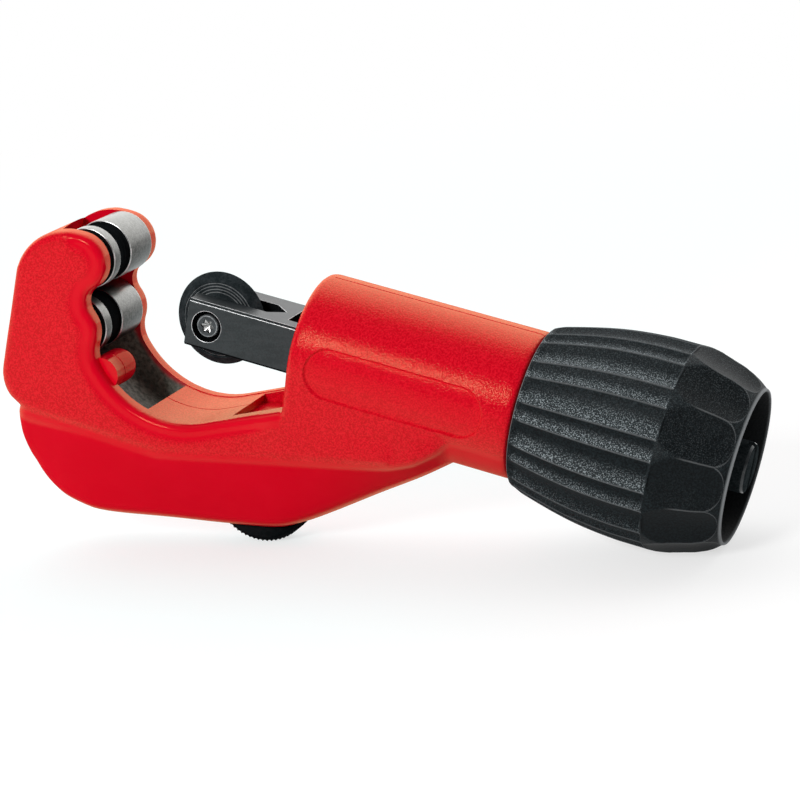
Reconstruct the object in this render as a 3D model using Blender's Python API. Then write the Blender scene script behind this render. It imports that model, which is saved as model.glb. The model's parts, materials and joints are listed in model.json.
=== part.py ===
"""Screw-feed pipe cutter: cast C-frame, two guide rollers, cutting wheel on a slide, turning grip.

The tool is drawn in its own axis frame and then set down the way it rests on a bench.
In the axis frame +X runs from the jaw to the grip along the spindle, Y is the width of the
tool with the wheel's plane at y = 0, +Z points out of the jaw, and x = 0 is the front of the barrel.
"""
import math

import bmesh
import bpy
from mathutils import Vector

for old in list(bpy.data.objects):
    bpy.data.objects.remove(old, do_unlink=True)

# Pipes that the tool takes
PIPE_MAX_RADIUS = 0.0175
PIPE_MIN_RADIUS = 0.0030
PIPE_WALL = 0.0010

# Gaps between pieces
SEAT_GAP = 0.0003
RUN_GAP = 0.00025
SLIDE_GAP = 0.0003
CUT_PAST = 0.0010
EDGE_BREAK = 0.0003

# Guide rollers
ROLLER_RADIUS = 0.00615
ROLLER_LENGTH = 0.0176
ROLLER_HALF_SPACING = 0.0072
ROLLER_SHOULDER_WIDTH = 0.0012
ROLLER_RING_WIDTH = 0.0025
ROLLER_GROOVE_WIDTH = 0.0046
ROLLER_GROOVE_DEPTH = 0.0007
ROLLER_CHAMFER = 0.0003
AXLE_RADIUS = 0.0025
AXLE_BLIND_DEPTH = 0.0020

# Jaw
THROAT_LENGTH = 0.0476
THROAT_CLEARANCE = 0.0027
RAMP_ANGLE = math.radians(24.8)
CHEEK_THICKNESS = 0.0036
ROLLER_PROUD = 0.00025
NOTCH_RADIUS = 0.0035
THROAT_FILLET = 0.0060
SHOULDER_RADIUS = 0.0122
SHOULDER_SHIFT = 0.0012
SHOULDER_END = math.radians(172.0)
JAW_BACK_DEPTH = 0.0141
JAW_CORNER_RADIUS = 0.0080
EDGE_ROUND = 0.0014
POCKET_DEPTH = 0.0055
POCKET_EDGE_ANGLE = math.radians(-103.0)
POCKET_BACK_WALL = 0.0066
BOSS_RADIUS = 0.0035
BOSS_LENGTH = 0.0086
BOSS_ROUND = 0.0010
BOSS_DROP = 0.0078
BOSS_FORWARD = 0.0075

# Keel under the jaw and the barrel, laid out in steps along it
KEEL_STEP = 0.0010
CREASE_DROP = 0.0064
KEEL_DROP = 0.0201
KEEL_HALF_WIDTH = 0.0058
CREASE_PROUD = 0.00005

# Barrel
BARREL_RADIUS = 0.01465
BARREL_LENGTH = 0.0462
BARREL_FRONT_ROUND = 0.0012
BARREL_REAR_ROUND = 0.0006
NECK_RADIUS = 0.0115
CHANNEL_IN_NECK = 0.0098
RECESS_LENGTH = 0.0118
RECESS_REACH = 0.0060
RECESS_DROP = 0.0020

# Cutting wheel and its screw
WHEEL_RADIUS = 0.0095
WHEEL_HUB_HALF = 0.0023
WHEEL_HUB_RADIUS = 0.0047
WHEEL_WEB_HALF = 0.0015
WHEEL_BEVEL_RADIUS = 0.0080
WHEEL_EDGE_HALF = 0.00015
REST_OPENING = 0.0101
BUSH_RADIUS = 0.0025
SCREW_RADIUS = 0.0015
SCREW_HEAD_RADIUS = 0.0023
SCREW_HEAD_HEIGHT = 0.0015
SCREW_HEAD_INSET = 0.0004
SCREW_COUNTERBORE_RADIUS = 0.00315
LOBE_RADIUS = 0.0012
LOBE_SWING = 0.0002
LOBE_DEPTH = 0.0010

# Slide
SLIDE_HALF_WIDTH = 0.0073
SLIDE_HALF_HEIGHT = 0.0049
SLIDE_CHAMFER = 0.0006
SLIDE_NOSE = 0.0043
SLOT_LENGTH = 0.0135
SLOT_POINT = 0.0030
OIL_POCKET_START = 0.0150
OIL_POCKET_LENGTH = 0.0060
OIL_POCKET_HALF_WIDTH = 0.0022
OIL_POCKET_DEPTH = 0.0008
STOP_GROOVE_DEPTH = 0.0016
STOP_SCREW_X = 0.0150
STOP_SCREW_RADIUS = 0.0020
STOP_DOG_RADIUS = 0.0015
STOP_SCREW_SINK = 0.0012

# Spindle and its bearing in the neck
THREAD_RADIUS = 0.00325
THREAD_PITCH = 0.0020
THREAD_ENGAGEMENT = 0.0050
COLLAR_RADIUS = 0.0088
COLLAR_THICKNESS = 0.0030
THRUST_WASHER_THICKNESS = 0.0009
RETAINER_LENGTH = 0.0040
JOURNAL_RADIUS = 0.0046
HEX_RADIUS = 0.0042
NECK_OVERHANG = 0.0005

# Grip
HANDLE_GAP = 0.0005
HANDLE_LENGTH = 0.0424
HANDLE_FRONT_RADIUS = 0.01575
HANDLE_BELLY_RADIUS = 0.0200
HANDLE_MOUTH_RADIUS = 0.0146
HANDLE_RIM_WALL = 0.0008
HUB_START = 0.0045
REAR_HOLLOW_DEPTH = 0.0076
REAR_HOLLOW_DRAFT = 0.0004
WIDE_FLUTE_DEPTH = 0.0009
NARROW_FLUTE_DEPTH = 0.0006
WIDE_FLUTE_SHARE = 0.6
FLUTE_END = 0.675
PETAL_COUNT = 12
PETAL_DEPTH = 0.0012
PETAL_CENTRE = 0.83
PETAL_HALF_LENGTH = 0.155
PETAL_FILL = 0.98
GRIP_RINGS = (0.0, 0.03, 0.08, 0.18, 0.32, 0.46, 0.58, 0.655, 0.68, 0.74, 0.80, 0.86, 0.91, 0.95, 0.985)
GRIP_SEGMENTS = 10 * PETAL_COUNT
HANDLE_WASHER_RADIUS = 0.0070
HANDLE_WASHER_THICKNESS = 0.0008
CAP_RADIUS = 0.0050
CAP_PROUD = 0.0010
CAP_SLOT_WIDTH = 0.0016
CAP_SLOT_DEPTH = 0.0018
CAP_SHANK_RADIUS = 0.0016
CAP_SHANK_LENGTH = 0.0090

# Folding deburrer
HUB_X = -0.0055
HUB_Z = -0.0327
THUMB_RADIUS = 0.0106
THUMB_HALF = 0.0030
THUMB_TEETH = 36
THUMB_TOOTH_DEPTH = 0.0004
THUMB_CHAMFER = 0.0005
DEBURR_WASHER_THICKNESS = 0.0005
DEBURR_WASHER_GAP = 0.0002
DEBURR_WASHER_RADIUS = 0.0050
BLADE_HALF_THICKNESS = 0.0015
BLADE_EYE_RADIUS = 0.0060
BLADE_HALF_HEIGHT = 0.0044
BLADE_LENGTH = 0.0350
BLADE_ANGLE = math.radians(12.4)
DEBURR_PIN_RADIUS = 0.0020
DEBURR_PIN_FRONT = 0.0060
DEBURR_PIN_REAR = 0.0070

# Places that follow from the sizes above
ROLLER_X = -THROAT_LENGTH
UPPER = Vector((ROLLER_X, ROLLER_HALF_SPACING))
LOWER = Vector((ROLLER_X, -ROLLER_HALF_SPACING))


def pipe_centre(radius):
    """X of a pipe of this radius lying against both rollers."""
    reach = radius + ROLLER_RADIUS
    return ROLLER_X + math.sqrt(reach ** 2 - ROLLER_HALF_SPACING ** 2)


THROAT = Vector((pipe_centre(PIPE_MAX_RADIUS), 0.0))
THROAT_RADIUS = PIPE_MAX_RADIUS + THROAT_CLEARANCE
POCKET_HALF_WIDTH = ROLLER_LENGTH / 2 + SEAT_GAP
JAW_HALF_WIDTH = POCKET_HALF_WIDTH + CHEEK_THICKNESS
NOSE_RADIUS = ROLLER_RADIUS - ROLLER_PROUD
JAW_BACK_X = ROLLER_X - JAW_BACK_DEPTH
CREASE_Z = -THROAT_RADIUS - CREASE_DROP
KEEL_Z = CREASE_Z - KEEL_DROP

WHEEL_OPEN_X = pipe_centre(PIPE_MAX_RADIUS) + PIPE_MAX_RADIUS + WHEEL_RADIUS + SEAT_GAP
WHEEL_CLOSED_X = pipe_centre(PIPE_MIN_RADIUS) + PIPE_MIN_RADIUS + WHEEL_RADIUS - PIPE_WALL
WHEEL_X = WHEEL_CLOSED_X + REST_OPENING
OPEN_TRAVEL = WHEEL_OPEN_X - WHEEL_X
CLOSE_TRAVEL = WHEEL_X - WHEEL_CLOSED_X

CHANNEL_END_X = BARREL_LENGTH + CHANNEL_IN_NECK
CHANNEL_HALF_WIDTH = SLIDE_HALF_WIDTH + SLIDE_GAP
CHANNEL_HALF_HEIGHT = SLIDE_HALF_HEIGHT + SLIDE_GAP
RECESS_HALF_WIDTH = CHANNEL_HALF_WIDTH + SEAT_GAP
SLIDE_FRONT_X = WHEEL_X - SLIDE_NOSE
SLIDE_REAR_X = CHANNEL_END_X - SEAT_GAP - OPEN_TRAVEL
SLOT_HALF = WHEEL_HUB_HALF + 2 * RUN_GAP
SPINDLE_TIP_X = SLIDE_REAR_X - CLOSE_TRAVEL - THREAD_ENGAGEMENT
SPINDLE_HOLE_END_X = SPINDLE_TIP_X - OPEN_TRAVEL - 2 * SEAT_GAP

COUNTERBORE_RADIUS = COLLAR_RADIUS + 2 * RUN_GAP
FRONT_WASHER_X = CHANNEL_END_X + SEAT_GAP
COLLAR_X = FRONT_WASHER_X + THRUST_WASHER_THICKNESS + SEAT_GAP
REAR_WASHER_X = COLLAR_X + COLLAR_THICKNESS + SEAT_GAP
RETAINER_X = REAR_WASHER_X + THRUST_WASHER_THICKNESS + SEAT_GAP
NECK_END_X = RETAINER_X + RETAINER_LENGTH + NECK_OVERHANG

HANDLE_X = BARREL_LENGTH + HANDLE_GAP
HANDLE_END_X = HANDLE_X + HANDLE_LENGTH
HUB_WEB_X = NECK_END_X + HUB_START
HUB_WEB_END_X = HANDLE_END_X - REAR_HOLLOW_DEPTH
SPINDLE_END_X = HUB_WEB_END_X - SEAT_GAP
HANDLE_WASHER_X = HUB_WEB_END_X + SEAT_GAP
CAP_X = HANDLE_WASHER_X + HANDLE_WASHER_THICKNESS + SEAT_GAP
CAP_END_X = HANDLE_END_X + CAP_PROUD

DEBURR_SLOT_HALF = THUMB_HALF + DEBURR_WASHER_THICKNESS + 2 * DEBURR_WASHER_GAP
BLADE_SLOT_HALF = BLADE_HALF_THICKNESS + 2 * SEAT_GAP


def material(name, colour, roughness, metallic):
    """A plain finish for one piece."""
    finish = bpy.data.materials.new(name)
    finish.use_nodes = True
    shader = finish.node_tree.nodes["Principled BSDF"]
    shader.inputs["Base Color"].default_value = (*colour, 1.0)
    shader.inputs["Roughness"].default_value = roughness
    shader.inputs["Metallic"].default_value = metallic
    return finish


RED = material("red_coat", (0.69, 0.012, 0.018), 0.45, 0.0)
GROUND = material("ground_steel", (0.45, 0.45, 0.43), 0.3, 1.0)
BLACK_STEEL = material("black_steel", (0.045, 0.052, 0.055), 0.4, 0.8)
WHEEL_STEEL = material("wheel_steel", (0.035, 0.042, 0.045), 0.38, 0.8)
BRIGHT = material("bright_steel", (0.55, 0.55, 0.54), 0.3, 1.0)
BRONZE = material("bronze", (0.45, 0.27, 0.11), 0.4, 1.0)
GRIP = material("black_grip", (0.045, 0.05, 0.052), 0.6, 0.0)

tool = bpy.data.objects.new("tool_axis", None)
bpy.context.scene.collection.objects.link(tool)


def finish_object(name, bm, place, finish, smooth_angle=math.radians(32)):
    """Turn a mesh in the making into an object of the tool, with its origin at place."""
    bmesh.ops.recalc_face_normals(bm, faces=bm.faces)
    mesh = bpy.data.meshes.new(name)
    bm.to_mesh(mesh)
    bm.free()
    mesh.shade_smooth()
    mesh.set_sharp_from_angle(angle=smooth_angle)
    piece = bpy.data.objects.new(name, mesh)
    bpy.context.scene.collection.objects.link(piece)
    piece.parent = tool
    piece.location = place
    if finish is not None:
        mesh.materials.append(finish)
    return piece


def turned(name, profile, segments, axis, place, finish, bored=True):
    """A turned piece. Each profile entry is (distance along the axis, radius at an angle or a number).

    A bored piece's profile runs round its whole section and joins up with its start.
    """
    bm = bmesh.new()
    rings = []
    for along, radius in profile:
        ring = []
        for step in range(segments):
            angle = 2 * math.pi * step / segments
            reach = radius(angle) if callable(radius) else radius
            across = (reach * math.cos(angle), reach * math.sin(angle))
            spot = (along, *across) if axis == "X" else (across[0], along, across[1])
            ring.append(bm.verts.new(spot))
        rings.append(ring)
    pairs = list(zip(rings, rings[1:] + rings[:1])) if bored else list(zip(rings, rings[1:]))
    for one, two in pairs:
        for step in range(segments):
            after = (step + 1) % segments
            bm.faces.new((one[step], one[after], two[after], two[step]))
    if not bored:
        bm.faces.new(rings[0])
        bm.faces.new(rings[-1])
    return finish_object(name, bm, place, finish)


def loft(name, sections, finish):
    """A closed solid through sections that have equal numbers of points."""
    bm = bmesh.new()
    rings = [[bm.verts.new(spot) for spot in section] for section in sections]
    count = len(rings[0])
    for one, two in zip(rings, rings[1:]):
        for step in range(count):
            after = (step + 1) % count
            bm.faces.new((one[step], one[after], two[after], two[step]))
    bm.faces.new(rings[0])
    bm.faces.new(rings[-1])
    return finish_object(name, bm, (0, 0, 0), finish)


def prism(name, outline, low_y, high_y, finish, place=(0, 0, 0)):
    """An outline in X and Z, extruded from low_y to high_y."""
    bm = bmesh.new()
    near = [bm.verts.new((x, low_y, z)) for x, z in outline]
    far = [bm.verts.new((x, high_y, z)) for x, z in outline]
    bm.faces.new(near)
    bm.faces.new(far)
    for step in range(len(outline)):
        after = (step + 1) % len(outline)
        bm.faces.new((near[step], near[after], far[after], far[step]))
    return finish_object(name, bm, place, finish)


def box(name, low, high, finish=None):
    """A block between two corners."""
    outline = [(low[0], low[2]), (high[0], low[2]), (high[0], high[2]), (low[0], high[2])]
    return prism(name, outline, low[1], high[1], finish)


def rod(name, radius, start, end, axis, place, finish=None, segments=32):
    """A plain round bar along an axis."""
    return turned(name, [(start, radius), (end, radius)], segments, axis, place, finish, bored=False)


def combine(target, tools, operation):
    """Join tools to the target or cut them out of it, and keep them out of sight."""
    for cutter in tools:
        cutter.hide_render = True
        cutter.display_type = "WIRE"
        step = target.modifiers.new(cutter.name, "BOOLEAN")
        step.object = cutter
        step.operation = operation
        step.solver = "EXACT"


def arc(centre, radius, start, end, steps):
    """Points on an arc in the X-Z plane, the short way round unless end is given past it."""
    return [
        (centre[0] + radius * math.cos(start + (end - start) * i / steps),
         centre[1] + radius * math.sin(start + (end - start) * i / steps))
        for i in range(steps + 1)
    ]


def heading(origin, target):
    """Angle from one X-Z point to another."""
    return math.atan2(target[1] - origin[1], target[0] - origin[0])


def short_arc(centre, radius, start, end, steps):
    """An arc that takes the shorter way from start to end."""
    turn = (end - start + math.pi) % (2 * math.pi) - math.pi
    return arc(centre, radius, start, start + turn, steps)


def corner(before, vertex, after, radius, steps):
    """Points that round the corner at vertex."""
    vertex = Vector(vertex)
    back = (Vector(before) - vertex).normalized()
    ahead = (Vector(after) - vertex).normalized()
    half = back.angle(ahead) / 2
    middle = vertex + (back + ahead).normalized() * radius / math.sin(half)
    first = vertex + back * radius / math.tan(half)
    last = vertex + ahead * radius / math.tan(half)
    return short_arc(middle, radius, heading(middle, first), heading(middle, last), steps)


def meeting(first, first_radius, second, second_radius):
    """The lower of the two points where two circles cross."""
    gap = second - first
    along = (first_radius ** 2 - second_radius ** 2 + gap.length_squared) / (2 * gap.length)
    across = math.sqrt(first_radius ** 2 - along ** 2)
    way = gap.normalized()
    side = Vector((-way.y, way.x))
    spots = [first + way * along + side * across, first + way * along - side * across]
    return min(spots, key=lambda spot: spot.y)


def ramp_z(x):
    """Height of the throat's floor where it climbs to the barrel."""
    touch_x = THROAT.x + THROAT_RADIUS * math.sin(RAMP_ANGLE)
    touch_z = -THROAT_RADIUS * math.cos(RAMP_ANGLE)
    return touch_z + (x - touch_x) * math.tan(RAMP_ANGLE)


CREASE_BEND = (THROAT.x, CREASE_Z - 0.4 * KEEL_STEP)
CREASE_END = (24 * KEEL_STEP, -BARREL_RADIUS - 0.6 * KEEL_STEP)


def crease_z(x):
    """Height of the crease between the flank and the keel, right of its bend."""
    share = (x - CREASE_BEND[0]) / (CREASE_END[0] - CREASE_BEND[0])
    return CREASE_BEND[1] + share * (CREASE_END[1] - CREASE_BEND[1])


def jaw_outline():
    """Outline of the C-frame in X and Z, and how many of its points lie on rounded edges."""
    wall_x = KEEL_STEP
    notch_reach = math.sqrt((NOSE_RADIUS + NOTCH_RADIUS) ** 2 - ROLLER_HALF_SPACING ** 2)
    notch = Vector((ROLLER_X + notch_reach, 0.0))
    fillet = meeting(THROAT, THROAT_RADIUS - THROAT_FILLET, LOWER, NOSE_RADIUS + THROAT_FILLET)
    shoulder = (ROLLER_X - SHOULDER_SHIFT, ROLLER_HALF_SPACING + NOSE_RADIUS - SHOULDER_RADIUS)
    points = [(wall_x, ramp_z(wall_x))]
    points += arc(THROAT, THROAT_RADIUS, RAMP_ANGLE - math.pi / 2, heading(THROAT, fillet), 18)
    points += short_arc(fillet, THROAT_FILLET, heading(THROAT, fillet), heading(fillet, LOWER), 4)[1:]
    points += short_arc(LOWER, NOSE_RADIUS, heading(LOWER, fillet), heading(LOWER, notch), 8)[1:]
    points += short_arc(notch, NOTCH_RADIUS, heading(notch, LOWER), heading(notch, UPPER), 8)[1:]
    points += short_arc(UPPER, NOSE_RADIUS, heading(UPPER, notch), math.pi / 2, 10)[1:]
    points += arc(shoulder, SHOULDER_RADIUS, math.pi / 2, SHOULDER_END, 10)
    back_corner = (JAW_BACK_X, CREASE_Z)
    points += corner(points[-1], back_corner, CREASE_BEND, JAW_CORNER_RADIUS, 6)
    rounded = len(points)
    points += [CREASE_BEND, CREASE_END, (CREASE_END[0], -4 * KEEL_STEP), (wall_x, -4 * KEEL_STEP)]
    return points, rounded


def jaw_plate():
    """The C-frame as a plate with its outer and throat edges rounded."""
    outline, rounded = jaw_outline()
    bm = bmesh.new()
    near = [bm.verts.new((x, -JAW_HALF_WIDTH, z)) for x, z in outline]
    far = [bm.verts.new((x, JAW_HALF_WIDTH, z)) for x, z in outline]
    bm.faces.new(near)
    bm.faces.new(far)
    edges = []
    for step in range(len(outline)):
        after = (step + 1) % len(outline)
        bm.faces.new((near[step], near[after], far[after], far[step]))
        if after and after < rounded:
            edges += [bm.edges.get((side[step], side[after])) for side in (near, far)]
    bmesh.ops.recalc_face_normals(bm, faces=bm.faces)
    bmesh.ops.bevel(bm, geom=edges, offset=EDGE_ROUND, segments=3, profile=0.5, affect="EDGES",
                    clamp_overlap=True)
    return finish_object("body", bm, (0, 0, 0), RED)


def keel_section(crease, keel, half_width, inset=0.0):
    """One slice through the keel, from the crease on both flanks down to its rounded foot."""
    crease = Vector(crease)
    keel = Vector(keel)
    rise = crease - keel
    top = JAW_HALF_WIDTH + CREASE_PROUD - inset
    step = KEEL_STEP
    inside = crease + rise.normalized() * 1.5 * step
    half = [
        (inside, top - step),
        (crease, top),
        (keel + rise * 0.14, half_width + 0.6 * step),
        (keel + rise * 0.03, half_width - step),
        (keel, half_width - 2.8 * step),
    ]
    near = [(spot.x, -reach, spot.y) for spot, reach in half]
    far = [(spot.x, reach, spot.y) for spot, reach in reversed(half)]
    return near + far


def keel():
    """Tapered spine that the tool stands on, from the back of the jaw to the barrel."""
    left = JAW_BACK_X
    step = KEEL_STEP
    stations = [
        ((left + 4 * step, CREASE_Z + 1.1 * step), (left + 4.4 * step, CREASE_Z - 3 * step), 11.2 * step, EDGE_ROUND),
        ((left + 5.5 * step, CREASE_Z + 0.4 * step), (left + 5.2 * step, CREASE_Z - 7.5 * step), 9.8 * step),
        ((left + 8 * step, CREASE_Z), (left + 7.8 * step, CREASE_Z - 13.5 * step), 7.2 * step),
        ((left + 12 * step, CREASE_Z), (left + 12.6 * step, CREASE_Z - 18.4 * step), 6 * step),
        ((left + 17 * step, CREASE_Z), (left + 18.6 * step, KEEL_Z), KEEL_HALF_WIDTH),
        ((left + 25.5 * step, CREASE_Z - 0.2 * step), (left + 24.6 * step, KEEL_Z + 0.2 * step), KEEL_HALF_WIDTH),
        (CREASE_BEND, (left + 38.5 * step, KEEL_Z + 3.1 * step), KEEL_HALF_WIDTH),
        ((-12 * step, crease_z(-12 * step)), (-11.5 * step, HUB_Z - 8.6 * step), KEEL_HALF_WIDTH),
        ((-step, crease_z(-step)), (-0.5 * step, HUB_Z - 5.8 * step), KEEL_HALF_WIDTH),
        ((5 * step, crease_z(5 * step)), (5.2 * step, HUB_Z - 2.6 * step), KEEL_HALF_WIDTH),
        ((17 * step, crease_z(17 * step)), (20 * step, -BARREL_RADIUS - 9.9 * step), KEEL_HALF_WIDTH),
        (CREASE_END, (28 * step, -BARREL_RADIUS - 4.2 * step), KEEL_HALF_WIDTH),
        ((30.5 * step, -BARREL_RADIUS + 4 * step), (35 * step, -BARREL_RADIUS + 1.4 * step), 5 * step),
    ]
    return loft("keel_block", [keel_section(*station) for station in stations], None)


def saddle():
    """Flank that carries the barrel: as wide as the barrel on its axis, drafted in to the crease."""
    foot = JAW_HALF_WIDTH + CREASE_PROUD
    top = BARREL_RADIUS - CREASE_PROUD
    step = KEEL_STEP
    sections = []
    for x, low_z, low_half in (
        (0.2 * step, crease_z(0.0), foot),
        (12 * step, crease_z(12 * step), foot),
        (CREASE_END[0], CREASE_END[1], foot),
        (30 * step, -BARREL_RADIUS + 3.2 * step, foot),
        (37 * step, -BARREL_RADIUS + 9 * step, foot),
    ):
        sections.append([(x, -top, 0), (x, top, 0), (x, low_half, low_z), (x, -low_half, low_z)])
    return loft("saddle_block", sections, None)


def flare():
    """Flank between the jaw and the saddle, where the width grows towards the barrel."""
    step = KEEL_STEP
    sections = []
    for x, top_half, low_half in (
        (-16 * step, JAW_HALF_WIDTH - 0.3 * step, JAW_HALF_WIDTH - 0.3 * step),
        (0.5 * step, JAW_HALF_WIDTH + 0.7 * step, JAW_HALF_WIDTH + CREASE_PROUD),
    ):
        top_z = ramp_z(x) - EDGE_ROUND
        low_z = crease_z(x)
        sections.append([(x, -top_half, top_z), (x, top_half, top_z), (x, low_half, low_z), (x, -low_half, low_z)])
    return loft("flare_block", sections, None)


def barrel():
    """Round barrel with a softened front rim, and the neck that the grip turns on."""
    front = BARREL_FRONT_ROUND
    profile = [
        (0.0, BARREL_RADIUS - front),
        (front * 0.13, BARREL_RADIUS - front * 0.5),
        (front * 0.5, BARREL_RADIUS - front * 0.13),
        (front, BARREL_RADIUS),
        (BARREL_LENGTH - BARREL_REAR_ROUND, BARREL_RADIUS),
        (BARREL_LENGTH, BARREL_RADIUS - BARREL_REAR_ROUND),
        (BARREL_LENGTH, NECK_RADIUS),
        (NECK_END_X, NECK_RADIUS),
    ]
    return turned("barrel_block", profile, 56, "X", (0, 0, 0), None, bored=False)


def roller_pocket():
    """Space between the cheeks for the rollers, open to the throat and at the top."""
    edge = POCKET_EDGE_ANGLE
    deep = THROAT_RADIUS + POCKET_DEPTH
    back_x = JAW_BACK_X + POCKET_BACK_WALL
    clear = ROLLER_RADIUS + 4 * RUN_GAP
    hug = max(clear, ROLLER_X - back_x)
    open_angle = math.radians(110)
    open_z = ROLLER_HALF_SPACING + 3 * ROLLER_RADIUS
    lip = (THROAT.x + THROAT_RADIUS * math.cos(edge), THROAT_RADIUS * math.sin(edge))
    outline = [(THROAT.x, -THROAT_RADIUS * 0.4), lip]
    outline += arc(THROAT, deep, edge - math.radians(5), math.radians(-135), 6)
    outline += [
        (ROLLER_X - 0.3 * clear, -ROLLER_HALF_SPACING - 1.35 * clear),
        (ROLLER_X - hug, -ROLLER_HALF_SPACING - 0.5 * clear),
    ]
    outline += arc(UPPER, hug, math.pi, open_angle, 6)
    outline += [(ROLLER_X + hug * math.cos(open_angle), open_z), (THROAT.x, open_z)]
    return prism("pocket_cut", outline, -POCKET_HALF_WIDTH, POCKET_HALF_WIDTH, None)


def floor_recess():
    """Drop in the throat's floor under the slide, where the barrel opens."""
    start = -RECESS_LENGTH
    outline = [
        (start, -CHANNEL_HALF_HEIGHT + CUT_PAST),
        (start, ramp_z(start) - RECESS_DROP),
        (RECESS_REACH, ramp_z(0.0) - RECESS_DROP),
        (RECESS_REACH, -CHANNEL_HALF_HEIGHT + CUT_PAST),
    ]
    return prism("recess_cut", outline, -RECESS_HALF_WIDTH, RECESS_HALF_WIDTH, None)


def blade_point(along, across):
    """X-Z point of the stowed blade, from its pivot."""
    way = Vector((-math.cos(BLADE_ANGLE), -math.sin(BLADE_ANGLE)))
    side = Vector((-way.y, way.x))
    return Vector((HUB_X, HUB_Z)) + way * along - side * across


def body():
    """The casting: jaw, keel and barrel in one piece, then everything that is cut into it."""
    casting = jaw_plate()
    combine(casting, [barrel(), saddle(), flare(), keel()], "UNION")
    outside = 20 * CUT_PAST
    wheel_half = WHEEL_HUB_HALF + 2 * RUN_GAP + SEAT_GAP
    wheel_reach = WHEEL_RADIUS + 2 * SEAT_GAP
    channel = box(
        "channel_cut",
        (-outside / 4, -CHANNEL_HALF_WIDTH, -CHANNEL_HALF_HEIGHT),
        (CHANNEL_END_X, CHANNEL_HALF_WIDTH, CHANNEL_HALF_HEIGHT),
    )
    wheel_room = box(
        "wheel_room_cut",
        (-outside / 4, -wheel_half, -wheel_reach),
        (WHEEL_OPEN_X + wheel_reach, wheel_half, wheel_reach),
    )
    counterbore = rod("counterbore_cut", COUNTERBORE_RADIUS, CHANNEL_END_X - SEAT_GAP / 3, NECK_END_X + outside, "X",
                      (0, 0, 0), segments=48)
    combine(casting, [roller_pocket()], "DIFFERENCE")
    boss_end = -POCKET_HALF_WIDTH + BOSS_LENGTH
    boss_profile = [
        (-POCKET_HALF_WIDTH - CUT_PAST, BOSS_RADIUS), (boss_end - BOSS_ROUND, BOSS_RADIUS),
        (boss_end - 0.3 * BOSS_ROUND, BOSS_RADIUS - 0.3 * BOSS_ROUND), (boss_end, BOSS_RADIUS - BOSS_ROUND),
    ]
    boss = turned("boss_block", boss_profile, 32, "Y",
                  (ROLLER_X + BOSS_FORWARD, 0, -ROLLER_HALF_SPACING - BOSS_DROP), None, bored=False)
    combine(casting, [boss], "UNION")
    axle_front = -POCKET_HALF_WIDTH - AXLE_BLIND_DEPTH - SEAT_GAP
    axle_holes = [
        rod(f"{name}_axle_cut", AXLE_RADIUS + SEAT_GAP, axle_front, JAW_HALF_WIDTH + outside, "Y",
            (spot.x, 0, spot.y), segments=28)
        for name, spot in (("upper", UPPER), ("lower", LOWER))
    ]
    stop_hole = rod("stop_cut", STOP_SCREW_RADIUS + SEAT_GAP, 0, BARREL_RADIUS + outside, "Y",
                    (STOP_SCREW_X, 0, 0), segments=24)
    hub_slot = rod("thumb_cut", THUMB_RADIUS + 2 * SEAT_GAP, -DEBURR_SLOT_HALF, DEBURR_SLOT_HALF, "Y",
                   (HUB_X, 0, HUB_Z), segments=40)
    room = BLADE_HALF_HEIGHT + 2 * SEAT_GAP
    far_end = BLADE_LENGTH + 5 * SEAT_GAP
    blade_outline = [
        blade_point(0, room), blade_point(far_end, room),
        blade_point(far_end, -outside), blade_point(0, -outside),
    ]
    blade_slot = prism("blade_cut", blade_outline, -BLADE_SLOT_HALF, BLADE_SLOT_HALF, None)
    pin_hole = rod("deburr_pin_cut", DEBURR_PIN_RADIUS + SEAT_GAP, -DEBURR_PIN_FRONT - SEAT_GAP,
                   JAW_HALF_WIDTH + outside, "Y", (HUB_X, 0, HUB_Z), segments=24)
    cuts = [channel, wheel_room, floor_recess(), counterbore, *axle_holes, stop_hole, hub_slot, blade_slot, pin_hole]
    combine(casting, cuts, "DIFFERENCE")


def roller(name, spot):
    """A guide roller: dark shoulder, narrow land, flare groove and wide land, with a bore."""
    half = ROLLER_LENGTH / 2
    low = ROLLER_RADIUS - ROLLER_GROOVE_DEPTH
    bore = AXLE_RADIUS + RUN_GAP
    ring = -half + ROLLER_SHOULDER_WIDTH
    groove = ring + ROLLER_RING_WIDTH
    land = groove + ROLLER_GROOVE_WIDTH
    profile = [
        (-half, bore), (-half, low), (ring, low), (ring, ROLLER_RADIUS), (groove, ROLLER_RADIUS),
        (groove, low), (land, low), (land, ROLLER_RADIUS), (half - ROLLER_CHAMFER, ROLLER_RADIUS),
        (half, ROLLER_RADIUS - ROLLER_CHAMFER), (half, bore),
    ]
    turned(name, profile, 32, "Y", (spot.x, 0, spot.y), GROUND)
    rod(f"{name}_axle", AXLE_RADIUS, -POCKET_HALF_WIDTH - AXLE_BLIND_DEPTH, JAW_HALF_WIDTH - SEAT_GAP, "Y",
        (spot.x, 0, spot.y), BRIGHT, segments=28)


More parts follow.
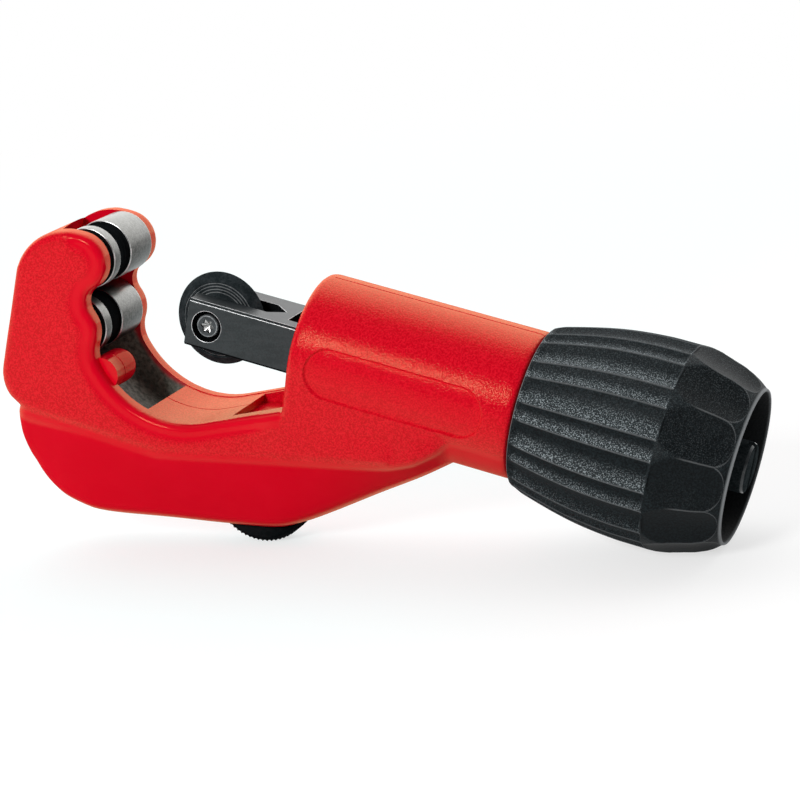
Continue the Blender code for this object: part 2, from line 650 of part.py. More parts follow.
def cutting_wheel():
    """Bevelled disc, its bush and the six-lobe screw that carries them."""
    bore = BUSH_RADIUS + RUN_GAP
    half = [
        (WHEEL_HUB_HALF, bore), (WHEEL_HUB_HALF, WHEEL_HUB_RADIUS), (WHEEL_WEB_HALF, WHEEL_HUB_RADIUS + 2 * EDGE_BREAK),
        (WHEEL_WEB_HALF, WHEEL_BEVEL_RADIUS), (WHEEL_EDGE_HALF, WHEEL_RADIUS),
    ]
    profile = half + [(-along, radius) for along, radius in reversed(half)]
    turned("cutter_wheel", profile, 48, "Y", (WHEEL_X, 0, 0), WHEEL_STEEL)
    sleeve = SLOT_HALF - SEAT_GAP / 2
    bush_bore = SCREW_RADIUS + RUN_GAP
    bush = [(-sleeve, bush_bore), (-sleeve, BUSH_RADIUS), (sleeve, BUSH_RADIUS), (sleeve, bush_bore)]
    turned("wheel_bush", bush, 28, "Y", (WHEEL_X, 0, 0), BRONZE)

    def lobes(angle):
        return LOBE_RADIUS + LOBE_SWING * math.cos(6 * angle)

    face = -SLIDE_HALF_WIDTH + SCREW_HEAD_INSET
    under = face + SCREW_HEAD_HEIGHT
    tip = SLIDE_HALF_WIDTH - 4 * EDGE_BREAK
    screw = [
        (face + LOBE_DEPTH, lobes), (face, lobes), (face, SCREW_HEAD_RADIUS - EDGE_BREAK),
        (face + EDGE_BREAK, SCREW_HEAD_RADIUS), (under, SCREW_HEAD_RADIUS), (under, SCREW_RADIUS), (tip, SCREW_RADIUS),
    ]
    turned("wheel_screw", screw, 36, "Y", (WHEEL_X, 0, 0), BLACK_STEEL, bored=False)


def slide():
    """Bar that carries the wheel: slotted nose, screw seat, spindle hole and stop groove."""
    chamfer = SLIDE_CHAMFER
    section = []
    for side_y, side_z in ((-1, -1), (1, -1), (1, 1), (-1, 1)):
        wide = (side_y * SLIDE_HALF_WIDTH, side_z * (SLIDE_HALF_HEIGHT - chamfer))
        tall = (side_y * (SLIDE_HALF_WIDTH - chamfer), side_z * SLIDE_HALF_HEIGHT)
        section += [wide, tall] if side_y == side_z else [tall, wide]
    nose = SLIDE_FRONT_X - WHEEL_X
    tail = SLIDE_REAR_X - WHEEL_X
    bar = loft("cutter_slide", [[(x, y, z) for y, z in section] for x in (nose, tail)], BLACK_STEEL)
    bar.location = (WHEEL_X, 0, 0)
    past = 2 * CUT_PAST
    slot_end = SLOT_LENGTH - SLOT_POINT
    slot_plan = [
        (nose - past, -SLOT_HALF), (slot_end, -SLOT_HALF), (SLOT_LENGTH, 0), (slot_end, SLOT_HALF),
        (nose - past, SLOT_HALF),
    ]
    slot = loft(
        "wheel_slot_cut",
        [[(x, y, z) for x, y in slot_plan] for z in (-SLIDE_HALF_HEIGHT - past, SLIDE_HALF_HEIGHT + past)],
        None,
    )
    slot.location = (WHEEL_X, 0, 0)
    seat_y = -SLIDE_HALF_WIDTH + SCREW_HEAD_INSET + SCREW_HEAD_HEIGHT + SEAT_GAP
    seat = rod("screw_seat_cut", SCREW_COUNTERBORE_RADIUS, -SLIDE_HALF_WIDTH - past, seat_y, "Y", (WHEEL_X, 0, 0))
    screw_hole = rod("screw_hole_cut", SCREW_RADIUS + RUN_GAP, -SLIDE_HALF_WIDTH - past,
                     SLIDE_HALF_WIDTH - 3 * EDGE_BREAK, "Y", (WHEEL_X, 0, 0), segments=24)
    spindle_hole = rod("spindle_hole_cut", THREAD_RADIUS + RUN_GAP, SPINDLE_HOLE_END_X, SLIDE_REAR_X + past, "X",
                       (0, 0, 0), segments=28)
    groove_half = STOP_DOG_RADIUS + SEAT_GAP
    groove = box(
        "stop_groove_cut",
        (STOP_SCREW_X - OPEN_TRAVEL - groove_half, SLIDE_HALF_WIDTH - STOP_GROOVE_DEPTH, -groove_half),
        (STOP_SCREW_X + CLOSE_TRAVEL + groove_half, SLIDE_HALF_WIDTH + past, groove_half),
    )
    pocket_x = WHEEL_X + OIL_POCKET_START
    oil_pocket = box(
        "oil_pocket_cut",
        (pocket_x, -OIL_POCKET_HALF_WIDTH, SLIDE_HALF_HEIGHT - OIL_POCKET_DEPTH),
        (pocket_x + OIL_POCKET_LENGTH, OIL_POCKET_HALF_WIDTH, SLIDE_HALF_HEIGHT + past),
    )
    combine(bar, [slot, seat, screw_hole, spindle_hole, groove, oil_pocket], "DIFFERENCE")


def stop_screw():
    """Dog screw in the barrel's far side, with its point in the slide's groove."""
    point_y = SLIDE_HALF_WIDTH - STOP_GROOVE_DEPTH + SEAT_GAP
    step_y = CHANNEL_HALF_WIDTH + SEAT_GAP
    profile = [
        (point_y, STOP_DOG_RADIUS), (step_y, STOP_DOG_RADIUS), (step_y, STOP_SCREW_RADIUS),
        (BARREL_RADIUS - STOP_SCREW_SINK, STOP_SCREW_RADIUS),
    ]
    turned("slide_stop_screw", profile, 24, "Y", (STOP_SCREW_X, 0, 0), BLACK_STEEL, bored=False)


def six_sided(corner_radius):
    """Radius of a hexagon at an angle."""
    def reach(angle):
        off = (angle + math.pi / 6) % (math.pi / 3) - math.pi / 6
        return corner_radius * math.cos(math.pi / 6) / math.cos(off)
    return reach


def washer(name, start, thickness, bore, radius, axis, place, finish):
    """A flat ring."""
    profile = [(start, bore), (start, radius), (start + thickness, radius), (start + thickness, bore)]
    turned(name, profile, 24, axis, place, finish)


def spindle():
    """Threaded shaft with a thrust collar, its washers and the ring that holds it in the neck."""
    chamfer = 2 * EDGE_BREAK
    hexagon = six_sided(HEX_RADIUS)
    hex_start = HUB_WEB_X - CUT_PAST
    screw_hole = CAP_SHANK_RADIUS + RUN_GAP
    hole_end = CAP_X - CAP_SHANK_LENGTH - 2 * SEAT_GAP
    profile = [
        (SPINDLE_TIP_X, THREAD_RADIUS - chamfer), (SPINDLE_TIP_X + chamfer, THREAD_RADIUS),
        (COLLAR_X, THREAD_RADIUS), (COLLAR_X, COLLAR_RADIUS),
        (COLLAR_X + COLLAR_THICKNESS, COLLAR_RADIUS), (COLLAR_X + COLLAR_THICKNESS, JOURNAL_RADIUS),
        (hex_start, JOURNAL_RADIUS), (hex_start, hexagon), (SPINDLE_END_X, hexagon),
        (SPINDLE_END_X, screw_hole), (hole_end, screw_hole),
    ]
    turned("spindle", profile, 24, "X", (0, 0, 0), BRIGHT, bored=False)
    thread_bore = THREAD_RADIUS + RUN_GAP
    journal_bore = JOURNAL_RADIUS + RUN_GAP
    washer("front_thrust_washer", FRONT_WASHER_X, THRUST_WASHER_THICKNESS, thread_bore, COLLAR_RADIUS, "X",
           (0, 0, 0), BRONZE)
    washer("rear_thrust_washer", REAR_WASHER_X, THRUST_WASHER_THICKNESS, journal_bore, COLLAR_RADIUS, "X",
           (0, 0, 0), BRONZE)
    washer("spindle_retainer", RETAINER_X, RETAINER_LENGTH, journal_bore, COUNTERBORE_RADIUS - SEAT_GAP, "X",
           (0, 0, 0), BRIGHT)


def handle_radius(share):
    """Outer radius of the grip along its length, a smooth line through a few measured places."""
    belly = HANDLE_BELLY_RADIUS
    mouth = HANDLE_MOUTH_RADIUS + HANDLE_RIM_WALL
    front = HANDLE_FRONT_RADIUS
    knots = [
        (0.0, front), (0.06, front + 0.24 * (belly - front)), (0.30, front + 0.78 * (belly - front)),
        (0.52, belly), (0.71, belly), (0.87, mouth + 0.66 * (belly - mouth)),
        (0.95, mouth + 0.27 * (belly - mouth)), (0.985, mouth),
    ]
    for index in range(len(knots) - 1):
        if share <= knots[index + 1][0]:
            break
    (x0, r0), (x1, r1) = knots[index], knots[index + 1]

    def slope(at):
        low, high = max(at - 1, 0), min(at + 1, len(knots) - 1)
        return (knots[high][1] - knots[low][1]) / (knots[high][0] - knots[low][0])

    span = x1 - x0
    t = (share - x0) / span
    return (
        (2 * t ** 3 - 3 * t ** 2 + 1) * r0 + (t ** 3 - 2 * t ** 2 + t) * span * slope(index)
        + (-2 * t ** 3 + 3 * t ** 2) * r1 + (t ** 3 - t ** 2) * span * slope(index + 1)
    )


def grip_ring(share):
    """Radius of the grip round one ring, with its flutes and petal scoops."""
    base = handle_radius(share)
    flute = min(1.0, share / 0.05) * min(1.0, max(0.0, (FLUTE_END - share) / 0.02))
    lengthwise = (share - PETAL_CENTRE) / PETAL_HALF_LENGTH
    pitch = 2 * math.pi / PETAL_COUNT
    ridge = WIDE_FLUTE_SHARE * pitch / 2

    def reach(angle):
        swing = abs((angle + pitch / 2) % pitch - pitch / 2)
        if swing < ridge:
            groove = WIDE_FLUTE_DEPTH * (1 - (swing / ridge) ** 2)
        else:
            groove = NARROW_FLUTE_DEPTH * (1 - ((pitch / 2 - swing) / (pitch / 2 - ridge)) ** 2)
        across = swing / (PETAL_FILL * pitch / 2)
        scoop = PETAL_DEPTH * max(0.0, 1 - lengthwise ** 2 - across ** 2)
        return base - groove * flute - scoop

    return reach


def handle():
    """The grip with its hollow front, hexagon hub and open rear end."""
    profile = [(HANDLE_X + share * HANDLE_LENGTH, grip_ring(share)) for share in GRIP_RINGS]
    hexagon = six_sided(HEX_RADIUS + RUN_GAP)
    hollow = NECK_RADIUS + 2 * RUN_GAP
    profile += [
        (HANDLE_END_X, HANDLE_MOUTH_RADIUS + 0.5 * HANDLE_RIM_WALL),
        (HANDLE_END_X - 2 * EDGE_BREAK, HANDLE_MOUTH_RADIUS),
        (HUB_WEB_END_X, HANDLE_MOUTH_RADIUS - REAR_HOLLOW_DRAFT), (HUB_WEB_END_X, hexagon), (HUB_WEB_X, hexagon),
        (HUB_WEB_X, hollow), (HANDLE_X, hollow),
    ]
    turned("handle", profile, GRIP_SEGMENTS, "X", (0, 0, 0), GRIP)
    washer("handle_washer", HANDLE_WASHER_X, HANDLE_WASHER_THICKNESS, CAP_SHANK_RADIUS + RUN_GAP,
           HANDLE_WASHER_RADIUS, "X", (0, 0, 0), BLACK_STEEL)
    dome = 4 * EDGE_BREAK
    shank = [
        (CAP_X - CAP_SHANK_LENGTH, CAP_SHANK_RADIUS), (CAP_X, CAP_SHANK_RADIUS), (CAP_X, CAP_RADIUS),
        (CAP_END_X - dome, CAP_RADIUS), (CAP_END_X - 0.3 * dome, CAP_RADIUS - 0.3 * dome),
        (CAP_END_X, CAP_RADIUS - dome),
    ]
    cap = turned("handle_screw", shank, 28, "X", (0, 0, 0), BLACK_STEEL, bored=False)
    slot = box(
        "cap_slot_cut",
        (CAP_END_X - CAP_SLOT_DEPTH, -CAP_SLOT_WIDTH / 2, -CAP_RADIUS - CUT_PAST),
        (CAP_END_X + CUT_PAST, CAP_SLOT_WIDTH / 2, CAP_RADIUS + CUT_PAST),
    )
    combine(cap, [slot], "DIFFERENCE")


def deburrer():
    """Folding reamer: serrated thumb wheel, blade, pivot pin and two washers."""
    place = (HUB_X, 0, HUB_Z)

    def teeth(angle):
        return THUMB_RADIUS - THUMB_TOOTH_DEPTH * (0.5 - 0.5 * math.cos(THUMB_TEETH * angle))

    bore = DEBURR_PIN_RADIUS + RUN_GAP
    rim = THUMB_RADIUS - 2 * THUMB_TOOTH_DEPTH
    edge = THUMB_HALF - THUMB_CHAMFER
    disc = [
        (-THUMB_HALF, bore), (-THUMB_HALF, rim), (-edge, teeth), (edge, teeth), (THUMB_HALF, rim), (THUMB_HALF, bore),
    ]
    wheel = turned("deburrer_thumb_wheel", disc, 2 * THUMB_TEETH, "Y", place, BLACK_STEEL)
    slot_half = BLADE_HALF_THICKNESS + SEAT_GAP
    eye = BLADE_EYE_RADIUS + SEAT_GAP
    eye_room = rod("blade_eye_cut", eye, -slot_half, slot_half, "Y", place)
    reach = THUMB_RADIUS + 2 * CUT_PAST
    root = BLADE_HALF_HEIGHT + SEAT_GAP
    root_outline = [
        blade_point(0, root), blade_point(reach, root), blade_point(reach, -root), blade_point(0, -root),
    ]
    root_room = prism("blade_root_cut", root_outline, -slot_half, slot_half, None)
    combine(wheel, [eye_room, root_room], "DIFFERENCE")
    half = BLADE_HALF_HEIGHT
    lean = math.asin(half / BLADE_EYE_RADIUS)
    outline = [
        blade_point(BLADE_LENGTH, -half), blade_point(0.62 * BLADE_LENGTH, half),
    ]
    for step in range(13):
        angle = lean + (2 * math.pi - 2 * lean) * step / 12
        outline.append(blade_point(BLADE_EYE_RADIUS * math.cos(angle), BLADE_EYE_RADIUS * math.sin(angle)))
    outline = [(spot.x - HUB_X, spot.y - HUB_Z) for spot in outline]
    blade = prism("deburrer_blade", outline, -BLADE_HALF_THICKNESS, BLADE_HALF_THICKNESS, BRIGHT, place)
    eye_hole = rod("blade_hole_cut", bore, -BLADE_HALF_THICKNESS - CUT_PAST, BLADE_HALF_THICKNESS + CUT_PAST, "Y", place,
                   segments=24)
    combine(blade, [eye_hole], "DIFFERENCE")
    rod("deburrer_pin", DEBURR_PIN_RADIUS, -DEBURR_PIN_FRONT, DEBURR_PIN_REAR, "Y", place, BRIGHT, segments=24)
    near = THUMB_HALF + DEBURR_WASHER_GAP
    washer("deburrer_plain_washer", -near - DEBURR_WASHER_THICKNESS, DEBURR_WASHER_THICKNESS, bore,
           DEBURR_WASHER_RADIUS, "Y", place, BRIGHT)
    washer("deburrer_spring_washer", near, DEBURR_WASHER_THICKNESS, bore, DEBURR_WASHER_RADIUS, "Y", place, BRIGHT)


def rest_tilt():
    """Angle at which the thumb wheel and the grip both touch the bench."""
    angles = [2 * math.pi * step / GRIP_SEGMENTS for step in range(GRIP_SEGMENTS)]
    underside = []
    for share in GRIP_RINGS:
        reach = grip_ring(share)
        underside.append((HANDLE_X + share * HANDLE_LENGTH, min(reach(angle) * math.sin(angle) for angle in angles)))

    def handle_above_thumb(tilt):
        down, up = math.sin(tilt), math.cos(tilt)
        thumb_low = -down * HUB_X + up * HUB_Z - THUMB_RADIUS
        handle_low = min(-down * x + up * z for x, z in underside)
        return handle_low - thumb_low

    low, high = 0.0, math.radians(45)
    for _ in range(60):
        middle = (low + high) / 2
        if handle_above_thumb(middle) > 0:
            low = middle
        else:
            high = middle
    return low


def set_down():
    """Tip the tool on to its thumb wheel and grip, and centre its footprint on the origin."""
    tool.rotation_euler = (0, rest_tilt(), 0)
    bpy.context.view_layer.update()
    graph = bpy.context.evaluated_depsgraph_get()
    spots = []
    for piece in bpy.data.objects:
        if piece.type == "MESH" and not piece.hide_render:
            shape = piece.evaluated_get(graph)
            spots += [shape.matrix_world @ vertex.co for vertex in shape.data.vertices]
    low = [min(spot[axis] for spot in spots) for axis in range(3)]
    high = [max(spot[axis] for spot in spots) for axis in range(3)]
    tool.location = (-(low[0] + high[0]) / 2, -(low[1] + high[1]) / 2, -low[2])
    bpy.context.view_layer.update()


body()
roller("upper_roller", UPPER)
roller("lower_roller", LOWER)
cutting_wheel()
slide()
stop_screw()
spindle()
handle()
deburrer()
set_down()
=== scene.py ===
"""Looks of a screw-feed pipe cutter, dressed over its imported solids.

Shapes are drawn in the tool's own axis frame, in millimetres: +X from the jaw to the grip along
the spindle, Y across the tool with the cutting wheel at y = 0, +Z out of the jaw, and x = 0 at the
front of the barrel.
"""
import json
from math import atan2, cos, hypot, pi, radians, sin, sqrt, tan

import bmesh
import bpy
import numpy as np
import openvdb
from mathutils import Matrix, Vector


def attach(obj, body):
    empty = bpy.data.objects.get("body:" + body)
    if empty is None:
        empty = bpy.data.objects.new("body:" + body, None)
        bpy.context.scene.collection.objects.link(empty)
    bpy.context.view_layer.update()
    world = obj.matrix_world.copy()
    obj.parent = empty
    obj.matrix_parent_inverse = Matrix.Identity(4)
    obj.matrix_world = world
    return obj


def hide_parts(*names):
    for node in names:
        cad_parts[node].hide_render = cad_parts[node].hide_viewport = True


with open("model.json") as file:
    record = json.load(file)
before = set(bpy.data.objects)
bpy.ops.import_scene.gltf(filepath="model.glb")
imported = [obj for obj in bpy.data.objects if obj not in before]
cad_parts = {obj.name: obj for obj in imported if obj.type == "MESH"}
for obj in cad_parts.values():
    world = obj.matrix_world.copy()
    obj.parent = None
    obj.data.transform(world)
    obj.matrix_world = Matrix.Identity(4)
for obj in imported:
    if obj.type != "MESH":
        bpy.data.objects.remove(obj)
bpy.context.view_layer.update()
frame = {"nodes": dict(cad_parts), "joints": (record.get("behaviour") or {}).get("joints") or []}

# ---- tool frame

SCENE = bpy.context.scene
JOINTS = {joint["name"]: joint for joint in frame["joints"]}
MILLIMETRE = 0.001


def tool_matrix():
    """From the tool's axis frame in millimetres to the bench frame in metres."""
    along = -Vector(JOINTS["slide_travel"]["axis"]).normalized()
    across = Vector((0, 1, 0))
    matrix = Matrix((along, across, along.cross(across))).transposed().to_4x4()
    matrix.translation = JOINTS["handle_spin"]["pos_m"]
    return matrix @ Matrix.Scale(MILLIMETRE, 4)


TOOL = tool_matrix()

# ---- sizes, in millimetres

ROLLER_X = -47.6
ROLLER_Z = 7.2
ROLLER_RADIUS = 6.15
ROLLER_HALF = 8.8
ROLLER_BORE = 2.75
NARROW_LAND = (-7.6, -5.1)
WIDE_LAND = -0.5
NOSE_RADIUS = 5.9
NOTCH_RADIUS = 3.5
THROAT_X = -25.073
THROAT_RADIUS = 20.2
THROAT_FILLET = 6.0
RAMP = radians(24.8)
JAW_HALF = 12.7
JAW_BACK = -61.7
SHOULDER_RADIUS = 12.2
HEEL_RADIUS = 8.0
ROOT_X = 1.0
ROOT_Z = -4.0
CREASE_Z = -26.6
CREASE_BEND = (THROAT_X, -27.0)
CREASE_END = (24.0, -15.25)
EDGE_ROUND = 1.4
BORDER_WIDTH = 3.0
BORDER_SINK = 0.3
POCKET_HALF = 9.1
POCKET_EDGE = radians(-103)
BARE_Z = -9.0
BOSS_PLACE = (ROLLER_X + 7.5, 0, -ROLLER_Z - 7.8)
BOSS_RADIUS = 3.5
BOSS_LENGTH = 8.6
BARREL_RADIUS = 14.65
BARREL_LENGTH = 46.2
BARREL_ROUNDS = (1.3, 0.6)
NECK_RADIUS = 11.5
NECK_MIDDLE = 56.0
NECK_HALF = 10.5
NECK_END = 66.5
PANEL = (3.9, 40.6, -0.15, 5.05)
PANEL_SINK = 0.55
CHANNEL = (7.6, 5.2, 56.0)
STOP_X = 15.0
WHEEL_X = -20.353
WHEEL_RADIUS = 9.5
WHEEL_BORE = 2.75
WHEEL_RINGS = (5.7, 6.3, 6.9, 7.5)
RING_HALF = 0.15
SLIDE_HALF = (7.3, 4.9)
SLIDE_FRONT = -24.653
SLIDE_REAR = 33.12
SLIDE_CHAMFER = 0.42
SEAT_RADIUS = 3.15
EDGE_WEAR = 0.11
EDGE_DROP = 0.045
HANDLE_X = 46.7
HANDLE_LENGTH = 42.4
MOUTH_RADIUS = 14.6
HUB = (-5.5, -32.7)
HUB_PLACE = (HUB[0], 0, HUB[1])
THUMB_RADIUS = 10.6
BLADE_TILT = radians(12.4)

# ---- meshes

SMOOTH_ANGLE = 35.0


def shade(mesh, smooth_angle):
    """Smooth shading that keeps edges above an angle in degrees sharp."""
    mesh.shade_smooth()
    mesh.set_sharp_from_angle(angle=radians(smooth_angle))


def edited(mesh, edit):
    """Change a mesh in place by edit(bm)."""
    bm = bmesh.new()
    bm.from_mesh(mesh)
    edit(bm)
    bm.to_mesh(mesh)
    bm.free()


def mesh_object(name, points, faces, smooth_angle=SMOOTH_ANGLE):
    """An object in the tool's frame from its corner points and faces."""
    mesh = bpy.data.meshes.new(name)
    mesh.from_pydata([tuple(p) for p in points], [], [tuple(f) for f in faces])
    edited(mesh, lambda bm: bmesh.ops.recalc_face_normals(bm, faces=bm.faces))
    shade(mesh, smooth_angle)
    shape = bpy.data.objects.new(name, mesh)
    SCENE.collection.objects.link(shape)
    return shape


def ring_faces(rows, columns, closed_rows=False):
    """Faces of a tube of rows of points, each a closed ring; an open tube gets caps."""
    faces = []
    for row in range(rows if closed_rows else rows - 1):
        one, two = row * columns, (row + 1) % rows * columns
        for step in range(columns):
            after = (step + 1) % columns
            faces.append((one + step, one + after, two + after, two + step))
    if not closed_rows:
        faces.append(tuple(range(columns)))
        faces.append(tuple(range((rows - 1) * columns, rows * columns)))
    return faces


def turned(name, profile, segments, axis, place=(0, 0, 0), bored=True, smooth_angle=SMOOTH_ANGLE):
    """A turned piece from a profile of (place on the axis, radius or its function of angle)."""
    angles = np.linspace(0, 2 * pi, segments, endpoint=False)
    points = []
    for along, radius in profile:
        reach = radius(angles) if callable(radius) else np.full(segments, float(radius))
        side, up = reach * np.cos(angles), reach * np.sin(angles)
        flat = np.full(segments, float(along))
        ring = np.stack((flat, side, up) if axis == "X" else (side, flat, up), axis=1)
        points.append(ring + np.array(place))
    faces = ring_faces(len(profile), segments, closed_rows=bored)
    return mesh_object(name, np.concatenate(points), faces, smooth_angle)


def softened(profile, breaks, steps=3):
    """A profile with chosen corners rounded: breaks gives a radius for each corner's index."""
    out = []
    count = len(profile)
    for index, spot in enumerate(profile):
        radius = breaks.get(index, 0)
        if not radius:
            out.append(spot)
            continue
        here = Vector(spot)
        back = (Vector(profile[index - 1]) - here).normalized()
        ahead = (Vector(profile[(index + 1) % count]) - here).normalized()
        first, last = here + back * radius, here + ahead * radius
        for step in range(steps + 1):
            t = step / steps
            out.append(tuple(first.lerp(here, t).lerp(here.lerp(last, t), t)))
    return out


def prism(name, outline, low_y, high_y):
    """An outline in X and Z, drawn out from low_y to high_y."""
    points = [(x, y, z) for y in (low_y, high_y) for x, z in outline]
    return mesh_object(name, points, ring_faces(2, len(outline)))


def box(name, low, high):
    """A block between two corners."""
    outline = [(low[0], low[2]), (high[0], low[2]), (high[0], high[2]), (low[0], high[2])]
    return prism(name, outline, low[1], high[1])


def rod(name, radius, start, end, axis, place=(0, 0, 0), segments=64):
    """A plain round bar, used for holes."""
    return turned(name, [(start, radius), (end, radius)], segments, axis, place, bored=False)


def worked(shape, steps, smooth_angle=SMOOTH_ANGLE):
    """The shape with each (operation, tool) carried out in turn; the tools are used up."""
    for operation, cutter in steps:
        step = shape.modifiers.new(cutter.name, "BOOLEAN")
        step.object = cutter
        step.operation = operation
        step.solver = "MANIFOLD"
    graph = bpy.context.evaluated_depsgraph_get()
    mesh = bpy.data.meshes.new_from_object(shape.evaluated_get(graph))
    shape.modifiers.clear()
    shape.data = mesh
    for _, cutter in steps:
        bpy.data.objects.remove(cutter, do_unlink=True)
    shade(mesh, smooth_angle)
    return shape


def clear_specks(bm, size=0.0005):
    """Take out edges and corners too fine to see, which cuts leave behind."""
    bmesh.ops.dissolve_degenerate(bm, dist=size, edges=bm.edges)
    bmesh.ops.dissolve_verts(bm, verts=[v for v in bm.verts if len(v.link_edges) == 2])


def coordinates(items, key):
    """X, Y and Z of all vertices or faces of a mesh, as three arrays."""
    flat = np.empty(3 * len(items))
    items.foreach_get(key, flat)
    return flat.reshape(-1, 3).T


def mark(mesh, **values):
    """Keep values on the mesh, one for each point, for its finish to read."""
    for name, value in values.items():
        layer = mesh.attributes.new(name, "FLOAT", "POINT")
        layer.data.foreach_set("value", value.astype(np.float32))


def seat(shape, body, finish, replaced):
    """Put a shape in its place on a body, with a finish for each of its kinds of face."""
    mesh = shape.data
    mesh.transform(TOOL)
    chosen = np.empty(len(mesh.polygons), np.int32)
    mesh.polygons.foreach_get("material_index", chosen)
    mesh.materials.clear()
    for one in finish:
        mesh.materials.append(one)
    mesh.polygons.foreach_set("material_index", np.minimum(chosen, len(finish) - 1))
    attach(shape, body)
    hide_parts(*replaced)


# ---- outlines


def arc(centre, radius, start, end, steps):
    """Points on an arc in X and Z."""
    return [
        (centre[0] + radius * cos(start + (end - start) * i / steps),
         centre[1] + radius * sin(start + (end - start) * i / steps))
        for i in range(steps + 1)
    ]


def heading(origin, target):
    """Angle from one point to another."""
    return atan2(target[1] - origin[1], target[0] - origin[0])


def short_arc(centre, radius, start, end, steps):
    """An arc that takes the shorter way."""
    turn = (end - start + pi) % (2 * pi) - pi
    return arc(centre, radius, start, start + turn, steps)


def corner(before, vertex, after, radius, steps):
    """Points that round a corner."""
    vertex = Vector(vertex)
    back = (Vector(before) - vertex).normalized()
    ahead = (Vector(after) - vertex).normalized()
    half = back.angle(ahead) / 2
    middle = vertex + (back + ahead).normalized() * radius / sin(half)
    first = vertex + back * radius / tan(half)
    last = vertex + ahead * radius / tan(half)
    return short_arc(middle, radius, heading(middle, first), heading(middle, last), steps)


def flowing(points, steps=6):
    """A smooth line through points."""
    spots = [Vector(p) for p in points]
    spots = [2 * spots[0] - spots[1]] + spots + [2 * spots[-1] - spots[-2]]
    out = []
    for a, b, c, d in zip(spots, spots[1:], spots[2:], spots[3:]):
        for step in range(steps):
            t = step / steps
            out.append(tuple(0.5 * (2 * b + (c - a) * t + (2 * a - 5 * b + 4 * c - d) * t ** 2
                                    + (3 * b - a - 3 * c + d) * t ** 3)))
    return out + [tuple(spots[-2])]


def ramp_z(x):
    """Height of the throat's floor where it climbs to the barrel."""
    touch_x = THROAT_X + THROAT_RADIUS * sin(RAMP)
    return -THROAT_RADIUS * cos(RAMP) + (x - touch_x) * tan(RAMP)


def throat_line():
    """Edge of the jaw from the barrel, round the throat and over both noses."""
    throat = Vector((THROAT_X, 0))
    upper, lower = Vector((ROLLER_X, ROLLER_Z)), Vector((ROLLER_X, -ROLLER_Z))
    reach = sqrt((NOSE_RADIUS + NOTCH_RADIUS) ** 2 - ROLLER_Z ** 2)
    notch = Vector((ROLLER_X + reach, 0))
    first, second = THROAT_RADIUS - THROAT_FILLET, NOSE_RADIUS + THROAT_FILLET
    gap = lower - throat
    along = (first ** 2 - second ** 2 + gap.length_squared) / (2 * gap.length)
    across = sqrt(first ** 2 - along ** 2)
    way = gap.normalized()
    side = Vector((-way.y, way.x))
    sides = (throat + way * along + side * s for s in (across, -across))
    fillet = min(sides, key=lambda spot: spot.y)
    line = [(ROOT_X, ramp_z(ROOT_X))]
    line += arc(throat, THROAT_RADIUS, RAMP - pi / 2, heading(throat, fillet), 40)
    for centre, radius, before, after, steps in (
        (fillet, THROAT_FILLET, heading(throat, fillet), heading(fillet, lower), 10),
        (lower, NOSE_RADIUS, heading(lower, fillet), heading(lower, notch), 16),
        (notch, NOTCH_RADIUS, heading(notch, lower), heading(notch, upper), 16),
        (upper, NOSE_RADIUS, heading(upper, notch), pi / 2, 20),
    ):
        line += short_arc(centre, radius, before, after, steps)[1:]
    return line


def jaw_outline():
    """The whole C-frame in X and Z."""
    line = throat_line()
    shoulder = (ROLLER_X - 1.2, ROLLER_Z + NOSE_RADIUS - SHOULDER_RADIUS)
    line += arc(shoulder, SHOULDER_RADIUS, pi / 2, radians(172), 24)
    line += corner(line[-1], (JAW_BACK, CREASE_Z), CREASE_BEND, HEEL_RADIUS, 12)
    return line + [CREASE_BEND, CREASE_END, (CREASE_END[0], ROOT_Z), (ROOT_X, ROOT_Z)]


CREASE_LINE = [
    (JAW_BACK + 4.0, CREASE_Z + 1.1), (JAW_BACK + 5.5, CREASE_Z + 0.4), (JAW_BACK + 8.0, CREASE_Z),
    (JAW_BACK + 17.0, CREASE_Z), (JAW_BACK + 25.5, CREASE_Z - 0.2), CREASE_BEND, (0.0, -21.0),
    (16.0, -17.3), (23.0, -15.6), (28.0, -13.4), (32.0, -10.2), (35.0, -7.0),
]
KEEL_LINE = [
    (-57.3, -29.6), (-56.5, -34.1), (-53.9, -40.1), (-49.1, -45.0), (-43.1, -46.7), (-37.1, -46.5),
    (-23.2, -43.6), (-11.5, -41.3), (-0.5, -38.8), (5.0, -36.0), (10.5, -32.2), (20.0, -25.0),
    (28.0, -19.1), (35.0, -13.4),
]
KEEL_FOOT = [
    (-57.3, 11.2), (-56.5, 9.8), (-53.9, 7.2), (-49.1, 6.0), (-43.1, 5.8), (28.0, 5.8), (35.0, 5.0),
]
SADDLE_LINE = [(0.2, -21.0), (12.0, -18.2), *CREASE_LINE[-5:-1], (37.0, -5.0)]

# ---- casting


def distance_to(outline, x, z, closed=True):
    """Distance from points to an outline, negative inside a closed one."""
    nearest = np.full(x.shape, np.inf)
    inside = np.zeros(x.shape, bool)
    ends = outline[1:] + outline[:1] if closed else outline[1:]
    for (ax, az), (bx, bz) in zip(outline, ends):
        ex, ez = bx - ax, bz - az
        px, pz = x - ax, z - az
        share = np.clip((px * ex + pz * ez) / max(ex * ex + ez * ez, 1e-12), 0, 1)
        nearest = np.minimum(nearest, (px - ex * share) ** 2 + (pz - ez * share) ** 2)
        if closed and az != bz:
            inside ^= ((az > z) != (bz > z)) & (x < ax + ex * (z - az) / ez)
    return np.where(inside, -1, 1) * np.sqrt(nearest)


def rounded(one, two, radius):
    """Distance to the body where two surfaces meet in an edge of this radius."""
    one, two = one + radius, two + radius
    outside = np.hypot(np.maximum(one, 0), np.maximum(two, 0))
    return np.minimum(np.maximum(one, two), 0) + outside - radius


